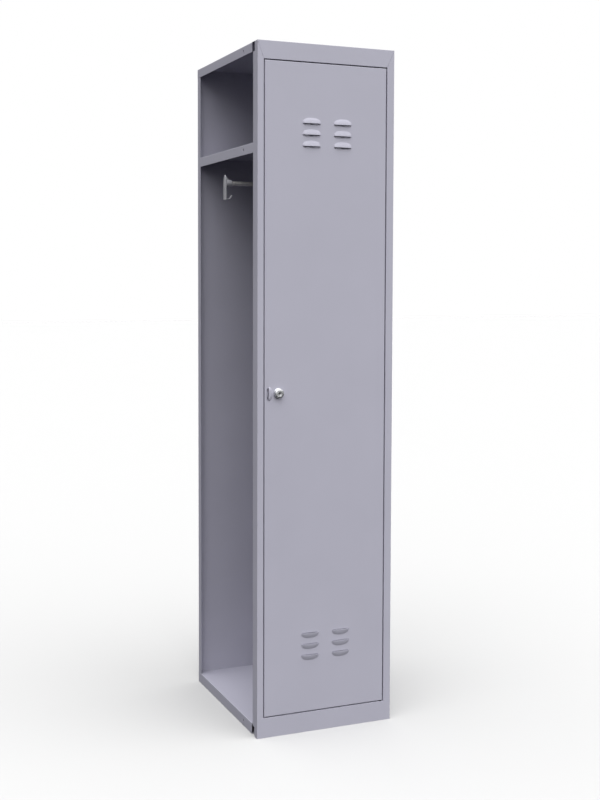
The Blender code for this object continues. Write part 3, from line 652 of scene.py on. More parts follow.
def fold(bm, edges, *steps):
    """Folds a flange from these edges, through each (u, v, n) step: (bends, outer edges)."""
    bends = []
    for step in steps:
        bends += edges
        edges, verts = extend(bm, edges)
        bmesh.ops.translate(bm, vec=step, verts=verts)
    return bends, edges


def flanges(bm, *rows):
    """Folds a flange for each row, which is a rim's numbers and then its steps: all the bends."""
    bends = []
    for row, *steps in rows:
        bends += fold(bm, rim(bm, *row), *steps)[0]
    return bends


def fold_inward(bm, edges, low, high, width):
    """Turns a lip in from the sides of the rectangle, mitred at its corners: its bends."""
    bends = list(edges)
    _, verts = extend(bm, edges)
    for axis in (0, 1):
        for line, way in ((low[axis], 1), (high[axis], -1)):
            step = Vector((0, 0, 0))
            step[axis] = way * width
            side = [vert for vert in verts if abs(vert.co[axis] - line) < TINY]
            bmesh.ops.translate(bm, vec=step, verts=side)
    return bends


def rounded(bm, edges, width, segments):
    """Rounds these edges."""
    bmesh.ops.bevel(
        bm,
        geom=edges,
        offset=width,
        offset_type="OFFSET",
        segments=segments,
        profile=0.5,
        affect="EDGES",
        material=-1,
        clamp_overlap=True,
    )


def round_bends(bm, bends, radius, segments=5):
    rounded(bm, [bend for bend in set(bends) if bend.is_valid], radius, segments)
    bmesh.ops.remove_doubles(bm, verts=bm.verts, dist=MERGE_DISTANCE)


def rims_of(verts):
    return list({edge for vert in verts for edge in vert.link_edges})


def fill_between(bm, edges, normal):
    """Fills the flat area between an outer loop and the loop of a hole in it: its faces."""
    made = bmesh.ops.triangle_fill(bm, edges=edges, use_beauty=True, normal=normal)["geom"]
    return only(bmesh.types.BMFace, made)


def pierce(bm, centre, normal, radius, steps=20):
    """A round hole through a flat part of the sheet."""
    normal = Vector(normal)
    centre = Vector(centre)
    across = Vector((0, 0, 1)) if abs(normal.z) < 0.5 else Vector((1, 0, 0))
    along = normal.cross(across)
    half = HOLE_PATCH * radius
    faces = []
    for face in bm.faces:
        offsets = [vert.co - centre for vert in face.verts]
        flat = all(abs(offset.dot(normal)) < TINY for offset in offsets)
        reach = [
            min(offset.dot(way) for offset in offsets) < half
            and max(offset.dot(way) for offset in offsets) > -half
            for way in (across, along)
        ]
        if flat and all(reach):
            faces.append(face)
    geom = with_rims(faces)
    for way in (across, along):
        for side in (-1, 1):
            geom = bmesh.ops.bisect_plane(
                bm, geom=geom, dist=ON_PLANE, plane_co=centre + way * half * side, plane_no=way
            )["geom"]
    inside = [
        face
        for face in only(bmesh.types.BMFace, geom)
        if (face.calc_center_median() - centre).length < half
    ]
    edges = {edge for face in inside for edge in face.edges}
    border = {edge for edge in edges if not set(edge.link_faces) <= set(inside)}
    bmesh.ops.delete(bm, geom=inside, context="FACES_KEEP_BOUNDARY")
    turn = Matrix((across, along, normal)).transposed().to_4x4()
    ring = bmesh.ops.create_circle(
        bm, segments=steps, radius=radius, matrix=Matrix.Translation(centre) @ turn
    )["verts"]
    fill_between(bm, list(border) + rims_of(ring), normal)


def face_outward(bm):
    """Turns every face of the open sheet to the side of its largest face's +n."""
    bmesh.ops.recalc_face_normals(bm, faces=bm.faces)
    flat = [face for face in bm.faces if abs(face.normal.z) > NEARLY_ONE]
    if max(flat, key=lambda face: face.calc_area()).normal.z < 0:
        bmesh.ops.reverse_faces(bm, faces=bm.faces)


def sheet_piece(bm, bends, nodes, place, holes=(), forms=(), **more):
    """Rounds a blank's bends, pierces and presses it, and adds it as a coated piece."""
    sheet = bpy.context.scene.locker_sheet
    round_bends(bm, bends, sheet.bend)
    for hole in holes:
        pierce(bm, *hole)
    for form in forms:
        press_form(bm, *form)
    face_outward(bm)
    bmesh.ops.transform(bm, matrix=place, verts=bm.verts)
    sizes = {"thickness": sheet.thickness, "edge": sheet.cut_edge}
    add_piece(bm, more.pop("body", "carcass"), "powder_coat", nodes, **sizes, **more)


# ---------------------------------------------------------------- front frame


def frame_blank(sheet):
    """The blank of the whole front frame: its bmesh and the corners of its opening."""
    low = (DOOR_LEFT - sheet.door_gap, DOOR_LOW.z - sheet.door_gap)
    high = (DOOR_RIGHT + sheet.door_gap, DOOR_HIGH.z + sheet.door_gap)
    notch = sheet.corner_notch
    bm = flat_sheet((0, 0), (WIDTH, HEIGHT))
    score(bm, (low[0], high[0]), (low[1], high[1], notch, HEIGHT - notch))
    cut_out(bm, low, high)
    return bm, low, high


def mitre_planes(low, high):
    """A point and the normal pointing to the rail, for the left and right top corners."""
    right_width, left_width, rail = WIDTH - high[0], low[0], HEIGHT - high[1]
    yield Vector((0, HEIGHT, 0)), Vector((rail, left_width, 0)).normalized()
    yield Vector((WIDTH, HEIGHT, 0)), Vector((-rail, right_width, 0)).normalized()


def trim_mitres(bm, low, high, seam, keep_rail):
    """Cuts the top corners along the mitres, and keeps the rail's side or the stiles' side."""
    if keep_rail:
        cut_out(bm, (-BEYOND, -BEYOND), (WIDTH + BEYOND, high[1]))
    else:
        cut_out(bm, (low[0], high[1]), (high[0], HEIGHT + BEYOND))
    for side, (point, normal) in enumerate(mitre_planes(low, high)):
        if keep_rail:
            start, end = -BEYOND, WIDTH + BEYOND
        elif side == 0:
            start, end = -BEYOND, low[0]
        else:
            start, end = high[0], WIDTH + BEYOND
        foot = high[1] if keep_rail else low[1]
        row = faces_between(bm, (start, foot), (end, HEIGHT + BEYOND))
        away = -normal if keep_rail else normal
        bmesh.ops.bisect_plane(
            bm,
            geom=with_rims(row),
            dist=ON_PLANE,
            plane_co=point - away * seam / 2,
            plane_no=away,
            clear_outer=True,
        )


class LOCKER_OT_front_frame(bpy.types.Operator):
    """Fold the stiles and the bottom rail, welded into one frame"""

    bl_idname = "locker.front_frame"
    bl_label = "Front Frame"

    def execute(self, context):
        sheet = context.scene.locker_sheet
        bm, low, high = frame_blank(sheet)
        trim_mitres(bm, low, high, sheet.seam, keep_rail=False)
        back = (0, 0, -sheet.reveal)
        bends, _ = fold(bm, rim(bm, 0, WIDTH), back)
        left_bends, left_edges = fold(bm, rim(bm, 0, 0), back)
        bends += left_bends
        notch = sheet.corner_notch
        deeper = []
        for edge in left_edges:
            middle = (edge.verts[0].co.y + edge.verts[1].co.y) / 2
            if notch < middle < HEIGHT - notch:
                deeper.append(edge)
        fold(bm, deeper, (0, 0, sheet.reveal - sheet.left_return))
        rail_edges = rim(bm, 1, 0, low[0], high[0])
        bends += fold(bm, rail_edges, (0, 0, FRONT_Y - RAIL_HIGH.y))[0]
        opening = rim(bm, 0, low[0], low[1], high[1]) + rim(bm, 0, high[0], low[1], high[1])
        opening += rim(bm, 1, low[1], low[0], high[0])
        more, inner = fold(bm, opening, back)
        bends += more
        bends += fold_inward(bm, inner, low, high, sheet.stop_lip)
        nodes = ("left_stile", "right_stile", "bottom_rail")
        sheet_piece(bm, bends, nodes, FRONT, name="front_frame")
        return {"FINISHED"}


class LOCKER_OT_top_rail(bpy.types.Operator):
    """Fold the top rail, mitred to the stiles"""

    bl_idname = "locker.top_rail"
    bl_label = "Top Rail"

    def execute(self, context):
        sheet = context.scene.locker_sheet
        bm, low, high = frame_blank(sheet)
        trim_mitres(bm, low, high, sheet.seam, keep_rail=True)
        back = (0, 0, -sheet.reveal)
        bends, _ = fold(bm, rim(bm, 1, HEIGHT), back)
        more, inner = fold(bm, rim(bm, 1, high[1]), back)
        bends += more
        bends += fold_inward(bm, inner, low, high, sheet.stop_lip)
        sheet_piece(bm, bends, ("top_rail",), FRONT)
        return {"FINISHED"}


# ---------------------------------------------------------------- walls, roof, floor, shelf


def level_place(height):
    """Where a level blank lies at this height."""
    return Matrix.Translation((0, 0, height)) @ LEVEL


def joining_hole(sheet, flange):
    """The hole in the middle of a left flange of this width, for the bolt to the next locker."""
    return (0, sheet.hole_back, -flange / 2), (1, 0, 0), sheet.hole_radius


class LOCKER_OT_side_panel(bpy.types.Operator):
    """Fold the right wall"""

    bl_idname = "locker.side_panel"
    bl_label = "Right Side Panel"

    def execute(self, context):
        sheet = context.scene.locker_sheet
        front = SIDE_LOW.y - FRONT_Y
        low, high = FLOOR_HIGH.z + sheet.relief, ROOF_LOW.z - sheet.relief
        bm = flat_sheet((front, 0), (DEPTH, HEIGHT))
        score(bm, (), (low, high))
        bends = flanges(bm, ((0, front, low, high), (0, 0, SIDE_LOW.x - SIDE_HIGH.x)))
        holes = []
        for screw in SCREWS:
            middle = middle_of(screw)
            holes.append(((middle.y - FRONT_Y, middle.z, 0), (0, 0, 1), SCREW_HOLE))
        sheet_piece(bm, bends, ("right_side_panel",), RIGHT, holes)
        return {"FINISHED"}


class LOCKER_OT_back_panel(bpy.types.Operator):
    """Fold the back wall"""

    bl_idname = "locker.back_panel"
    bl_label = "Back Panel"

    def execute(self, context):
        sheet = context.scene.locker_sheet
        low, high = FLOOR_HIGH.z + RETURN_GAP, ROOF_LOW.z - RETURN_GAP
        bm = flat_sheet((0, 0), (HEIGHT, LINER_X))
        score(bm, (low, high), ())
        step = (0, 0, -sheet.back_return)
        bends = flanges(bm, ((1, 0, low, high), step), ((1, LINER_X, low, high), step))
        sheet_piece(bm, bends, ("back_panel",), REAR)
        return {"FINISHED"}


class LOCKER_OT_roof_panel(bpy.types.Operator):
    """Fold the roof"""

    bl_idname = "locker.roof_panel"
    bl_label = "Roof Panel"

    def execute(self, context):
        sheet = context.scene.locker_sheet
        front = ROOF_LOW.y - FRONT_Y
        back_end = DEPTH - sheet.back_return - SEAM_GAP
        inner = LINER_X - sheet.thickness - SEAM_GAP
        relief = sheet.relief
        bm = flat_sheet((0, front), (LINER_X, LINER_Y))
        vs = (front + relief, ROOF_FLANGE_START, back_end, FLANGE_END)
        score(bm, (relief, inner - relief, inner), vs)
        cut_out(bm, (inner, back_end), (BEYOND, BEYOND))
        drop = (0, 0, -sheet.edge_flange)
        bends = flanges(
            bm,
            ((1, front, relief, inner - relief), drop),
            ((0, LINER_X, front + relief, back_end), drop),
            ((1, LINER_Y, relief, inner - relief), (0, 0, -REAR_DROP * sheet.edge_flange)),
            ((0, 0, ROOF_FLANGE_START, FLANGE_END), drop),
        )
        hole = joining_hole(sheet, sheet.edge_flange)
        sheet_piece(bm, bends, ("roof_panel",), level_place(HEIGHT), (hole,))
        return {"FINISHED"}


class LOCKER_OT_floor_panel(bpy.types.Operator):
    """Fold the floor pan"""

    bl_idname = "locker.floor_panel"
    bl_label = "Floor Panel"

    def execute(self, context):
        sheet = context.scene.locker_sheet
        front = FLOOR_LOW.y - FRONT_Y
        back_end = DEPTH - sheet.back_return - SEAM_GAP
        level = FLOOR_HIGH.z
        bm = flat_sheet((0, front), (LINER_X, LINER_Y))
        score(bm, (FLANGE_SETBACK,), (FLOOR_FLANGE_START, back_end, FLANGE_END))
        cut_out(bm, (-BEYOND, -BEYOND), (FLANGE_SETBACK, FLOOR_FLANGE_START))
        left = (0, 0, FLOOR_FLANGE_START, FLANGE_END)
        right = (0, LINER_X, FLOOR_FLANGE_START, back_end)
        drop = (0, 0, -level)
        bends = flanges(bm, (left, drop, (FLOOR_FOOT, 0, 0)), (right, drop, (-FLOOR_FOOT, 0, 0)))
        hole = joining_hole(sheet, level)
        sheet_piece(bm, bends, ("floor_panel",), level_place(level), (hole,))
        return {"FINISHED"}


class LOCKER_OT_hat_shelf(bpy.types.Operator):
    """Fold the hat shelf"""

    bl_idname = "locker.hat_shelf"
    bl_label = "Hat Shelf"

    def execute(self, context):
        sheet = context.scene.locker_sheet
        front = SHELF_LOW.y - FRONT_Y
        flange_front = sheet.left_return + SEAM_GAP
        back_end = DEPTH - sheet.back_return - SEAM_GAP
        left, right = FLANGE_SETBACK, LINER_X - FLANGE_SETBACK
        relief = sheet.relief
        flange = SHELF_HIGH.z - SHELF_LOW.z
        bm = flat_sheet((0, front), (LINER_X, LINER_Y))
        us = (left, left + relief, right - relief, right)
        score(bm, us, (front + relief, flange_front, back_end))
        cut_out(bm, (-BEYOND, -BEYOND), (left, flange_front))
        cut_out(bm, (-BEYOND, back_end), (left, BEYOND))
        cut_out(bm, (right, back_end), (BEYOND, BEYOND))
        drop = (0, 0, -flange)
        bends = flanges(
            bm,
            ((1, front, left + relief, right - relief), drop, (0, SHELF_RETURN, 0)),
            ((0, LINER_X, front + relief, back_end), drop),
            ((1, LINER_Y, left + relief, right - relief), drop),
            ((0, 0, flange_front, back_end), drop),
        )
        hole = joining_hole(sheet, flange)
        sheet_piece(bm, bends, ("hat_shelf",), level_place(SHELF_HIGH.z), (hole,))
        return {"FINISHED"}


# ---------------------------------------------------------------- door


def spaced(start, end, step):
    """Evenly spaced values from start to end, about one step apart."""
    count = max(1, round((end - start) / step))
    return [start + (end - start) * index / count for index in range(count + 1)]


def pressings(door):
    """(middle of the opening edge, way along it, way the form rises, width, rise, slit) of each."""
    right, up, down = Vector((1, 0, 0)), Vector((0, 1, 0)), Vector((0, -1, 0))
    for u in (door.louvre_left, door.louvre_right):
        for row in range(door.louvre_rows):
            shift = row * door.louvre_pitch
            upper = Vector((u, door.upper_edge - shift, 0))
            lower = Vector((u, door.lower_edge + shift, 0))
            yield upper, right, up, door.louvre_width, door.louvre_rise, door.upper_slit
            yield lower, right, down, door.louvre_width, door.louvre_rise, door.lower_slit
    pull = Vector((door.pull_edge, door.pull_centre, 0))
    yield pull, up, right, door.pull_height, door.pull_rise, door.pull_slit


def form_height(along, rise_part, width, rise):
    """How far a pressed form stands out, as a part of its depth."""
    end = min(abs(along) / (width / 2), 1.0)
    lip = math.sqrt(1 - end**END_POWER)
    reach = rise * (1 - end**CROWN_POWER) ** (1 / CROWN_POWER)
    if lip == 0 or reach == 0:
        return 0.0
    way = min(rise_part / reach, 1.0)
    return lip * (1 - way**SLOPE_POWER) ** (1 / SLOPE_ROOT)


def form_corners(middle, along, up, width, rise):
    """The corners of the area that a pressed form is worked in."""
    for side in (-1, 1):
        for end in (-FORM_MARGIN, rise + FORM_MARGIN):
            yield middle + along * side * (width / 2 + FORM_MARGIN) + up * end


def press_form(bm, middle, along, up, width, rise, slit):
    """Cuts the sheet along the opening edge and presses the metal beyond it outwards."""
    door = bpy.context.scene.locker_door
    corners = list(form_corners(middle, along, up, width, rise))
    low = [min(corner[axis] for corner in corners) for axis in (0, 1)]
    high = [max(corner[axis] for corner in corners) for axis in (0, 1)]
    faces = faces_between(bm, low, high)
    lines = [[], []]
    half = width / 2
    along_axis = 0 if abs(along.x) > 0.5 else 1
    way = up[1 - along_axis]
    lengthwise = spaced(-half, half, door.mesh_step * LONG_STEP)
    lines[along_axis] = [middle[along_axis] + value for value in lengthwise]
    rises = [-FORM_MARGIN / 2] + spaced(0, rise + FORM_MARGIN / 2, door.mesh_step)
    lines[1 - along_axis] = [middle[1 - along_axis] + way * value for value in rises]
    faces = score(bm, lines[0], lines[1], faces)
    cut = set()
    for face in faces:
        for edge in face.edges:
            first, second = (vert.co - middle for vert in edge.verts)
            level = max(abs(first.dot(up)), abs(second.dot(up))) < TINY
            inside = max(abs(first.dot(along)), abs(second.dot(along))) < half + TINY
            if level and inside:
                cut.add(edge)
    bmesh.ops.split_edges(bm, edges=list(cut))
    raised, lowered = set(), set()
    for face in faces:
        side = (face.calc_center_median() - middle).dot(up)
        for vert in face.verts:
            if side > 0:
                raised.add(vert)
            elif abs((vert.co - middle).dot(up)) < TINY:
                lowered.add(vert)
    for vert in raised:
        offset = vert.co - middle
        height = form_height(offset.dot(along), max(offset.dot(up), 0.0), width, rise)
        vert.co.z += door.louvre_depth * height
    for vert in lowered - raised:
        end = (vert.co - middle).dot(along) / half
        vert.co -= up * slit * math.sqrt(max(0.0, 1 - end**SLIT_POWER))


class LOCKER_OT_door_panel(bpy.types.Operator):
    """Fold the door leaf, and press its louvres and finger pull"""

    bl_idname = "locker.door_panel"
    bl_label = "Door Panel"

    def execute(self, context):
        door = context.scene.locker_door
        low, high = (DOOR_LEFT, DOOR_LOW.z), (DOOR_RIGHT, DOOR_HIGH.z)
        bm = flat_sheet(low, high)
        forms = list(pressings(door))
        corners = [corner for form in forms for corner in form_corners(*form[:-1])]
        us = {round(corner.x, 6) for corner in corners}
        vs = {round(corner.y, 6) for corner in corners}
        score(bm, sorted(us), sorted(vs))
        border = [edge for edge in bm.edges if edge.is_boundary]
        bends, edges = fold(bm, border, (0, 0, FRONT_Y - DOOR_HIGH.y))
        bends += fold_inward(bm, edges, low, high, door.lip)
        lock = middle_of("lock_housing")
        hole = ((lock.x - LEFT_X, lock.z, 0), (0, 0, 1), LOCK_HOLE, 32)
        sheet_piece(bm, bends, ("door_panel",), FRONT, (hole,), forms, body="door", even=False)
        return {"FINISHED"}


class LOCKER_OT_door_stiffener(bpy.types.Operator):
    """Fold the hat-shaped stiffener behind the door's skin"""

    bl_idname = "locker.door_stiffener"
    bl_label = "Door Stiffener"

    def execute(self, context):
        sheet = context.scene.locker_sheet
        left, right = STIFFENER_LOW.x - LEFT_X, STIFFENER_HIGH.x - LEFT_X
        foot = STIFFENER_FOOT
        height = STIFFENER_HIGH.y - STIFFENER_LOW.y - sheet.thickness
        bm = flat_sheet((STIFFENER_LOW.z, left + foot), (STIFFENER_HIGH.z, right - foot))
        down = (0, 0, -height)
        bends = flanges(
            bm,
            ((1, left + foot), down, (0, -foot, 0)),
            ((1, right - foot), down, (0, foot, 0)),
        )
        place = Matrix.Translation((0, STIFFENER_HIGH.y - BACK_HIGH.y, 0)) @ REAR
        sheet_piece(bm, bends, ("door_stiffener",), place, body="door")
        return {"FINISHED"}


# ---------------------------------------------------------------- turned and moulded parts


def turned(profile, centre, axis, steps=48):
    """Turns an outline of (radius, distance along the axis) points about the axis."""
    axis = Vector(axis)
    across = axis.orthogonal().normalized()
    bm = bmesh.new()
    verts = [bm.verts.new(centre + across * radius + axis * along) for radius, along in profile]
    edges = [bm.edges.new(pair) for pair in zip(verts, verts[1:])]
    if profile[0][0] > 0:
        edges.append(bm.edges.new((verts[-1], verts[0])))
    bmesh.ops.spin(
        bm, geom=edges, cent=centre, axis=axis, angle=math.tau, steps=steps, use_merge=True
    )
    bmesh.ops.remove_doubles(bm, verts=bm.verts, dist=MERGE_DISTANCE)
    bmesh.ops.recalc_face_normals(bm, faces=bm.faces)
    return bm


def carry(bm, faces, depth):
    """Carries flat faces along the vector depth, which closes the shape between."""
    made = bmesh.ops.extrude_face_region(bm, geom=faces)["geom"]
    bmesh.ops.translate(bm, vec=depth, verts=only(bmesh.types.BMVert, made))
    bmesh.ops.recalc_face_normals(bm, faces=bm.faces)


def outline_plate(corners, depth):
    """The flat outline through these points, carried along the vector depth."""
    bm = bmesh.new()
    carry(bm, [bm.faces.new([bm.verts.new(corner) for corner in corners])], depth)
    return bm


def block(size, centre):
    """A rectangular block."""
    bm = bmesh.new()
    bmesh.ops.create_cube(bm, size=1)
    bmesh.ops.scale(bm, vec=size, verts=bm.verts)
    bmesh.ops.translate(bm, vec=centre, verts=bm.verts)
    return bm


def soften(bm, edge):
    """Rounds the sharp edges as (width, least angle, segments) says."""
    width, angle, segments = edge
    limit = math.radians(angle)
    joined = [item for item in bm.edges if len(item.link_faces) == 2]
    rounded(bm, [item for item in joined if item.calc_face_angle() > limit], width, segments)
    return bm


def gathered(*shapes):
    """Several shapes in one bmesh."""
    whole = bmesh.new()
    for shape in shapes:
        mesh = bpy.data.meshes.new("shape")
        shape.to_mesh(mesh)
        shape.free()
        whole.from_mesh(mesh)
        bpy.data.meshes.remove(mesh)
    return whole


def baked(obj, *others):
    """The object's mesh with its modifiers applied, as a bmesh. It and the others are removed."""
    bpy.context.view_layer.update()
    graph = bpy.context.evaluated_depsgraph_get()
    mesh = bpy.data.meshes.new_from_object(obj.evaluated_get(graph))
    bm = bmesh.new()
    bm.from_mesh(mesh)
    bpy.data.meshes.remove(mesh)
    for item in (obj, *others):
        data = item.data
        bpy.data.objects.remove(item)
        bpy.data.meshes.remove(data)
    return bm


def grown_together(bm, voxel):
    """Overlapping shapes melted into one skin, with soft inner corners as a mould leaves them."""
    obj = object_of("moulding", bm)
    skin = obj.modifiers.new("Skin", "REMESH")
    skin.mode = "VOXEL"
    skin.voxel_size = voxel
    bm = baked(obj)
    for _ in range(SMOOTHINGS):
        bmesh.ops.smooth_vert(
            bm, verts=bm.verts, factor=0.5, use_axis_x=True, use_axis_y=True, use_axis_z=True
        )
    return bm


def cut_with(bm, cutter):
    """The shape with the other shape's volume taken away."""
    obj, tool = object_of("blank", bm), object_of("cutter", cutter)
    cut = obj.modifiers.new("Cut", "BOOLEAN")
    cut.operation = "DIFFERENCE"
    cut.solver = "EXACT"
    cut.object = tool
    return baked(obj, tool)


class LOCKER_OT_hanger_rod(bpy.types.Operator):
    """Turn the tubular clothes rail"""

    bl_idname = "locker.hanger_rod"
    bl_label = "Clothes Rail"

    def execute(self, context):
        fittings = context.scene.locker_fittings
        start, radius, size = round_part("hanger_rod", 0)
        bore = radius - fittings.rod_wall
        profile = [(bore, 0), (radius, 0), (radius, size), (bore, size)]
        bm = soften(turned(profile, start, (1, 0, 0)), ROD_EDGE)
        add_piece(bm, "carcass", "zinc_steel", ("hanger_rod",))
        return {"FINISHED"}


def bracket_shape(fittings, low, high, wall, side):
    """Wall plate with a pointed top, collar round the rod, rib and coat hook."""
    half = (high.y - low.y) / 2
    plate = fittings.bracket_plate
    outline = [
        (-half, low.z),
        (half, low.z),
        (half, fittings.bracket_shoulder),
        (TIP_SHARE * half, fittings.bracket_tip),
        (-TIP_SHARE * half, fittings.bracket_tip),
        (-half, fittings.bracket_shoulder),
    ]
    corners = [Vector((wall, ROD.y + y, z)) for y, z in outline]
    back_plate = soften(outline_plate(corners, side * plate), PLATE_EDGE)

    root = plate / 2
    bore = (ROD_HIGH.z - ROD_LOW.z) / 2 + ROD_PLAY
    outer = fittings.collar_radius
    reach = fittings.collar_reach
    ring = [(bore, root), (outer + COLLAR_FLARE, root), (outer, reach), (bore, reach)]
    collar = turned(ring, Vector((wall, ROD.y, ROD.z)), side)

    thick = fittings.hook_thickness
    top = ROD.z + outer - RIB_INSET
    rib_outline = [(root, fittings.bracket_tip - RIB_INSET), (root, top), (RIB_REACH * reach, top)]
    corners = [Vector((wall, ROD.y - thick / 2, z)) + side * x for x, z in rib_outline]
    rib = outline_plate(corners, Vector((0, thick, 0)))

    start = low.z + thick / 2
    spine = [(root, start)] + [(share * reach, start + up) for share, up in HOOK_SPINE]
    hook = swept_bar(spine, wall, ROD.y, side, fittings.hook_width, thick)
    return grown_together(gathered(back_plate, collar, rib, hook), fittings.bracket_voxel)


def swept_bar(spine, wall, middle_y, side, width, thick):
    """A flat bar along the (out, up) points of its spine, with a round end."""
    upper, lower = [], []
    for index, point in enumerate(spine):
        before = Vector(spine[max(index - 1, 0)])
        after = Vector(spine[min(index + 1, len(spine) - 1)])
        way = (after - before).normalized()
        normal = Vector((-way.y, way.x)) * thick / 2
        upper.append(Vector(point) + normal)
        lower.append(Vector(point) - normal)
    corners = [
        Vector((wall, middle_y - width / 2, point.y)) + side * point.x
        for point in upper + lower[::-1]
    ]
    bar = outline_plate(corners, Vector((0, width, 0)))
    end = Vector((wall, middle_y, spine[-1][1])) + side * spine[-1][0]
    ball = bmesh.new()
    bmesh.ops.create_uvsphere(ball, u_segments=24, v_segments=16, radius=0.5)
    bmesh.ops.scale(ball, vec=(thick * HOOK_END, width, thick * HOOK_END), verts=ball.verts)
    bmesh.ops.translate(ball, vec=end, verts=ball.verts)
    return gathered(bar, ball)


class LOCKER_OT_rod_brackets(bpy.types.Operator):
    """Mould the two brackets that hold the clothes rail"""

    bl_idname = "locker.rod_brackets"
    bl_label = "Rail Brackets"

    def execute(self, context):
        fittings = context.scene.locker_fittings
        for node, inward in (("rod_bracket_left", 1), ("rod_bracket_right", -1)):
            low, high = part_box(node)
            wall = low.x if inward > 0 else high.x
            side = Vector((inward, 0, 0))
            bm = bracket_shape(fittings, low, high, wall, side)
            bores = []
            for screw in SCREWS:
                start = Vector((wall, ROD.y, middle_of(screw).z)) - side * WALL_OVERCUT
                bores.append(turned(COUNTERSINK, start, side, 24))
            bm = cut_with(bm, gathered(*bores))
            add_piece(bm, "carcass", "grey_plastic", (node,))
        return {"FINISHED"}


class LOCKER_OT_bracket_screws(bpy.types.Operator):
    """Turn the countersunk screws of the right bracket, with a cross recess"""

    bl_idname = "locker.bracket_screws"
    bl_label = "Bracket Screws"

    def execute(self, context):
        for node in SCREWS:
            centre, radius, size = round_part(node, 0)
            shank = radius * SHANK_SHARE
            profile = [
                (0, 0),
                (radius * SCREW_CROWN, CROWN_DROP),
                (radius, HEAD_EDGE),
                (shank, TAPER_END),
                (shank, size),
                (0, size),
            ]
            bm = soften(turned(profile, centre, (1, 0, 0), 32), SCREW_EDGE)
            for arm in CROSS_ARMS:
                bm = cut_with(bm, block(arm, centre))
            add_piece(bm, "carcass", "zinc_steel", (node,))
        return {"FINISHED"}


class LOCKER_OT_pivots(bpy.types.Operator):
    """Finish the door's pivot pins, bushes and hinge plates"""

    bl_idname = "locker.pivots"
    bl_label = "Door Pivots"

    def execute(self, context):
        for level in ("upper", "lower"):
            refinish("zinc_steel", level + "_hinge_pin", level + "_hinge_plate")
            refinish("black_plastic", level + "_hinge_bush")
        return {"FINISHED"}


class LOCKER_OT_door_buffers(bpy.types.Operator):
    """Mould the rubber buttons that the door closes on"""

    bl_idname = "locker.door_buffers"
    bl_label = "Door Buffers"

    def execute(self, context):
        for node in ("door_buffer_upper", "door_buffer_lower"):
            centre, radius, size = round_part(node, 1)
            profile = [(across * radius, along * size) for across, along in BUFFER_OUTLINE]
            bm = soften(turned(profile, centre, (0, 1, 0), 32), BUFFER_EDGE)
            add_piece(bm, "carcass", "black_rubber", (node,))
        return {"FINISHED"}


# ---------------------------------------------------------------- lock


def facing_back(centre):
    """A place at the centre, with its own +Z along the cabinet's +Y."""
    return Matrix.Translation(centre) @ Matrix.Rotation(-math.pi / 2, 4, "X")


def bored_plate(bm, outer, place, bore, steps, size):
    """Makes an outline a plate along +Y with a round bore."""
    inner = bmesh.ops.create_circle(bm, segments=steps, radius=bore, matrix=place)["verts"]
    carry(bm, fill_between(bm, rims_of(outer + inner), (0, -1, 0)), (0, size, 0))


def add_nut(node, centre, bore, body):
    """A hexagon nut in place of its CAD node, chamfered."""
    low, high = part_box(node)
    wide, tall = high.x - low.x, high.z - low.z
    turn = 0.0 if wide > tall else math.pi / 6
    bm = bmesh.new()
    place = facing_back((centre.x, low.y, centre.z))
    outer = bmesh.ops.create_circle(
        bm, segments=6, radius=max(wide, tall) / 2, matrix=place @ Matrix.Rotation(turn, 4, "Z")
    )["verts"]
    bored_plate(bm, outer, place, bore, 30, high.y - low.y)
    add_piece(soften(bm, NUT_EDGE), body, "zinc_steel", (node,))


class LOCKER_OT_lock_housing(bpy.types.Operator):
    """Turn the lock's collar and barrel, and its nut behind the door"""

    bl_idname = "locker.lock_housing"
    bl_label = "Lock Housing"

    def execute(self, context):
        fittings = context.scene.locker_fittings
        low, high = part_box("lock_housing")
        centre = Vector(((low.x + high.x) / 2, FRONT_Y, (low.z + high.z) / 2))
        proud = FRONT_Y - low.y
        radius = (high.x - low.x) / 2
        bore = fittings.plug_radius + PLUG_PLAY
        end = high.y - FRONT_Y
        profile = [
            (bore, -proud + BORE_STEP),
            (bore, -proud + BORE_CHAMFER),
            (bore + BORE_CHAMFER, -proud),
        ]
        profile += [(radius - inset, -proud + along) for inset, along in COLLAR_INSETS]
        profile += [(radius - inset, along) for inset, along in COLLAR_ROOT]
        profile += [(BARREL_RADIUS, COLLAR_ROOT[-1][1]), (BARREL_RADIUS, end), (bore, end)]
        bm = soften(turned(profile, centre, (0, 1, 0), 64), HOUSING_EDGE)
        add_piece(bm, "door", "chrome", ("lock_housing",))
        add_nut("lock_nut", centre, BARREL_RADIUS + THREAD_PLAY, "door")
        return {"FINISHED"}


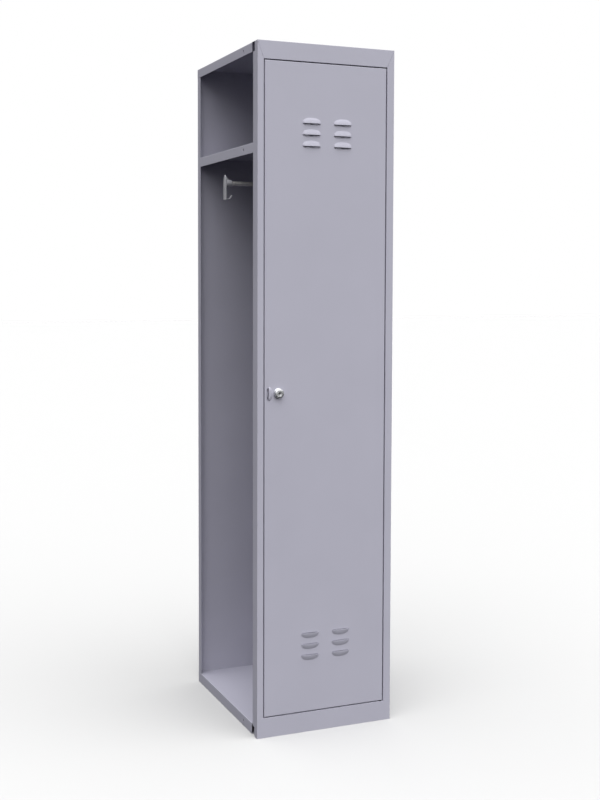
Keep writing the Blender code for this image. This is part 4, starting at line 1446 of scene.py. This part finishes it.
class LOCKER_OT_lock_plug(bpy.types.Operator):
    """Turn the plug with its key slot, and make the cam and its nut"""

    bl_idname = "locker.lock_plug"
    bl_label = "Lock Plug and Cam"

    def execute(self, context):
        fittings = context.scene.locker_fittings
        centre, _, size = round_part("lock_plug", 1)
        cam_low, cam_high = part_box("lock_cam")
        radius = fittings.plug_radius
        stud = fittings.stud_radius
        shoulder = cam_low.y - CAM_SEAT - centre.y
        profile = [
            (0, DISH),
            (DISH_INNER * radius, DISH),
            (DISH_OUTER * radius, 0),
            (radius - PLUG_CHAMFER, 0),
            (radius, PLUG_CHAMFER),
            (radius, shoulder),
            (stud, shoulder),
            (stud, size - STUD_CHAMFER),
            (stud - STUD_CHAMFER, size),
            (0, size),
        ]
        bm = soften(turned(profile, centre, (0, 1, 0), 64), PLUG_EDGE)
        slot = block((fittings.keyway_width, KEYWAY_LENGTH, fittings.keyway_height), centre)
        bm = cut_with(cut_with(bm, slot), block(WARD_SIZE, centre + WARD_PLACE))
        add_piece(bm, "lock", "chrome", ("lock_plug",))

        half = (cam_high.x - cam_low.x) / 2
        bm = bmesh.new()
        place = facing_back((centre.x, cam_low.y, centre.z))
        outer = bmesh.ops.create_circle(bm, segments=40, radius=half, matrix=place)["verts"]
        tip = cam_high.z - half - centre.z
        upper = [vert for vert in outer if vert.co.z > centre.z + TINY]
        bmesh.ops.translate(bm, vec=(0, 0, tip), verts=upper)
        bored_plate(bm, outer, place, stud + THREAD_PLAY, 28, cam_high.y - cam_low.y)
        add_piece(soften(bm, CAM_EDGE), "lock", "zinc_steel", ("lock_cam",))
        add_nut("cam_nut", centre, stud + THREAD_PLAY, "lock")
        return {"FINISHED"}


# ---------------------------------------------------------------- stage


def studio_floor(studio):
    """Seamless pale vinyl, which the eye reads as an even ground with soft shadows."""
    material, tree, shader, places = start_finish(
        "pale_studio_vinyl", {"Roughness": 0.8, "Specular IOR Level": 0.0}
    )
    haze = add_node(tree, "TexNoise", {"Scale": 0.7, "Detail": 2.0}, {"Vector": places})
    tint = add_node(tree, "ValToRGB", {}, {"Fac": haze.outputs["Fac"]})
    for element, factor in zip(tint.color_ramp.elements, (0.995, 1.0)):
        element.color = shade(studio.floor, factor)
    tree.links.new(tint.outputs["Color"], shader.inputs["Base Color"])
    return material


def soft_light(name, strength, azimuth, elevation, spread):
    """A far, wide light. Azimuth 0 is in front, and 90 is on the left."""
    data = bpy.data.lights.new(name, "SUN")
    data.energy = strength
    data.angle = math.radians(spread)
    turn, rise = math.radians(azimuth), math.radians(elevation)
    from_x, from_y = -math.sin(turn) * math.cos(rise), -math.cos(turn) * math.cos(rise)
    way = Vector((from_x, from_y, math.sin(rise)))
    lamp = bpy.data.objects.new(name, data)
    lamp.location = way * LIGHT_DISTANCE
    lamp.rotation_euler = (-way).to_track_quat("-Z", "Y").to_euler()
    bpy.context.scene.collection.objects.link(lamp)


class LOCKER_OT_stage(bpy.types.Operator):
    """Lay the floor, hang the lights and set the camera"""

    bl_idname = "locker.stage"
    bl_label = "Stage"

    def execute(self, context):
        scene = context.scene
        studio = scene.locker_studio
        scene.view_settings.view_transform = "Standard"

        bm = bmesh.new()
        bmesh.ops.create_grid(bm, x_segments=8, y_segments=8, size=studio.floor_size / 2)
        ground = object_of("studio_floor", bm)
        ground.data.materials.append(studio_floor(studio))
        ground.visible_glossy = False
        ground.visible_diffuse = False

        world = bpy.data.worlds.new("studio_sky")
        scene.world = world
        world.use_nodes = True
        tree = world.node_tree
        background = tree.nodes["Background"]
        ways = add_node(tree, "TexCoord").outputs["Generated"]
        height = add_node(tree, "SeparateXYZ", {}, {"Vector": ways}).outputs["Z"]
        ends = {"From Min": HORIZON, "From Max": OVERHEAD}
        ends |= {"To Min": studio.below, "To Max": studio.sky}
        glow = add_node(tree, "MapRange", ends, {"Value": height}).outputs["Result"]
        seen = add_node(tree, "LightPath").outputs["Is Camera Ray"]
        strength = add_node(tree, "Math", {}, {0: glow, 1: seen}, operation="MAXIMUM")
        tree.links.new(strength.outputs[0], background.inputs["Strength"])
        background.inputs["Color"].default_value = (1, 1, 1, 1)

        soft_light("key_light", studio.key, *KEY_LIGHT)
        soft_light("side_light", studio.side, *SIDE_LIGHT)

        camera = bpy.data.cameras.new("camera")
        camera.lens = studio.lens
        camera.sensor_width = SENSOR_WIDTH
        view = bpy.data.objects.new("camera", camera)
        camera.shift_x, camera.shift_y = CAMERA_SHIFT
        view.location = CAMERA_PLACE
        view.rotation_euler = [math.radians(angle) for angle in CAMERA_ANGLES]
        scene.collection.objects.link(view)
        scene.camera = view
        return {"FINISHED"}


# ---------------------------------------------------------------- panel and registration

PIECES = (
    LOCKER_OT_front_frame,
    LOCKER_OT_top_rail,
    LOCKER_OT_side_panel,
    LOCKER_OT_back_panel,
    LOCKER_OT_roof_panel,
    LOCKER_OT_floor_panel,
    LOCKER_OT_hat_shelf,
    LOCKER_OT_hanger_rod,
    LOCKER_OT_rod_brackets,
    LOCKER_OT_bracket_screws,
    LOCKER_OT_door_panel,
    LOCKER_OT_door_stiffener,
    LOCKER_OT_pivots,
    LOCKER_OT_door_buffers,
    LOCKER_OT_lock_housing,
    LOCKER_OT_lock_plug,
    LOCKER_OT_stage,
)


class VIEW3D_PT_locker(bpy.types.Panel):
    """Lists the locker's pieces and its settings."""

    bl_label = "Locker Section"
    bl_idname = "VIEW3D_PT_locker"
    bl_space_type = "VIEW_3D"
    bl_region_type = "UI"
    bl_category = "Locker"

    def draw(self, context):
        for name, group in SETTINGS.items():
            settings = getattr(context.scene, name)
            box = self.layout.box()
            box.label(text=group.__doc__)
            for key in group.__annotations__:
                box.prop(settings, key)
        for piece in PIECES:
            self.layout.operator(piece.bl_idname)


def register():
    for group in SETTINGS.values():
        bpy.utils.register_class(group)
    for name, group in SETTINGS.items():
        setattr(bpy.types.Scene, name, PointerProperty(type=group))
    for piece in PIECES:
        bpy.utils.register_class(piece)
    bpy.utils.register_class(VIEW3D_PT_locker)


def unregister():
    bpy.utils.unregister_class(VIEW3D_PT_locker)
    for piece in reversed(PIECES):
        bpy.utils.unregister_class(piece)
    for name in reversed(list(SETTINGS)):
        delattr(bpy.types.Scene, name)
    for group in reversed(list(SETTINGS.values())):
        bpy.utils.unregister_class(group)


def main():
    register()
    for piece in PIECES:
        group, name = piece.bl_idname.split(".")
        getattr(getattr(bpy.ops, group), name)()


if __name__ == "__main__":
    main()
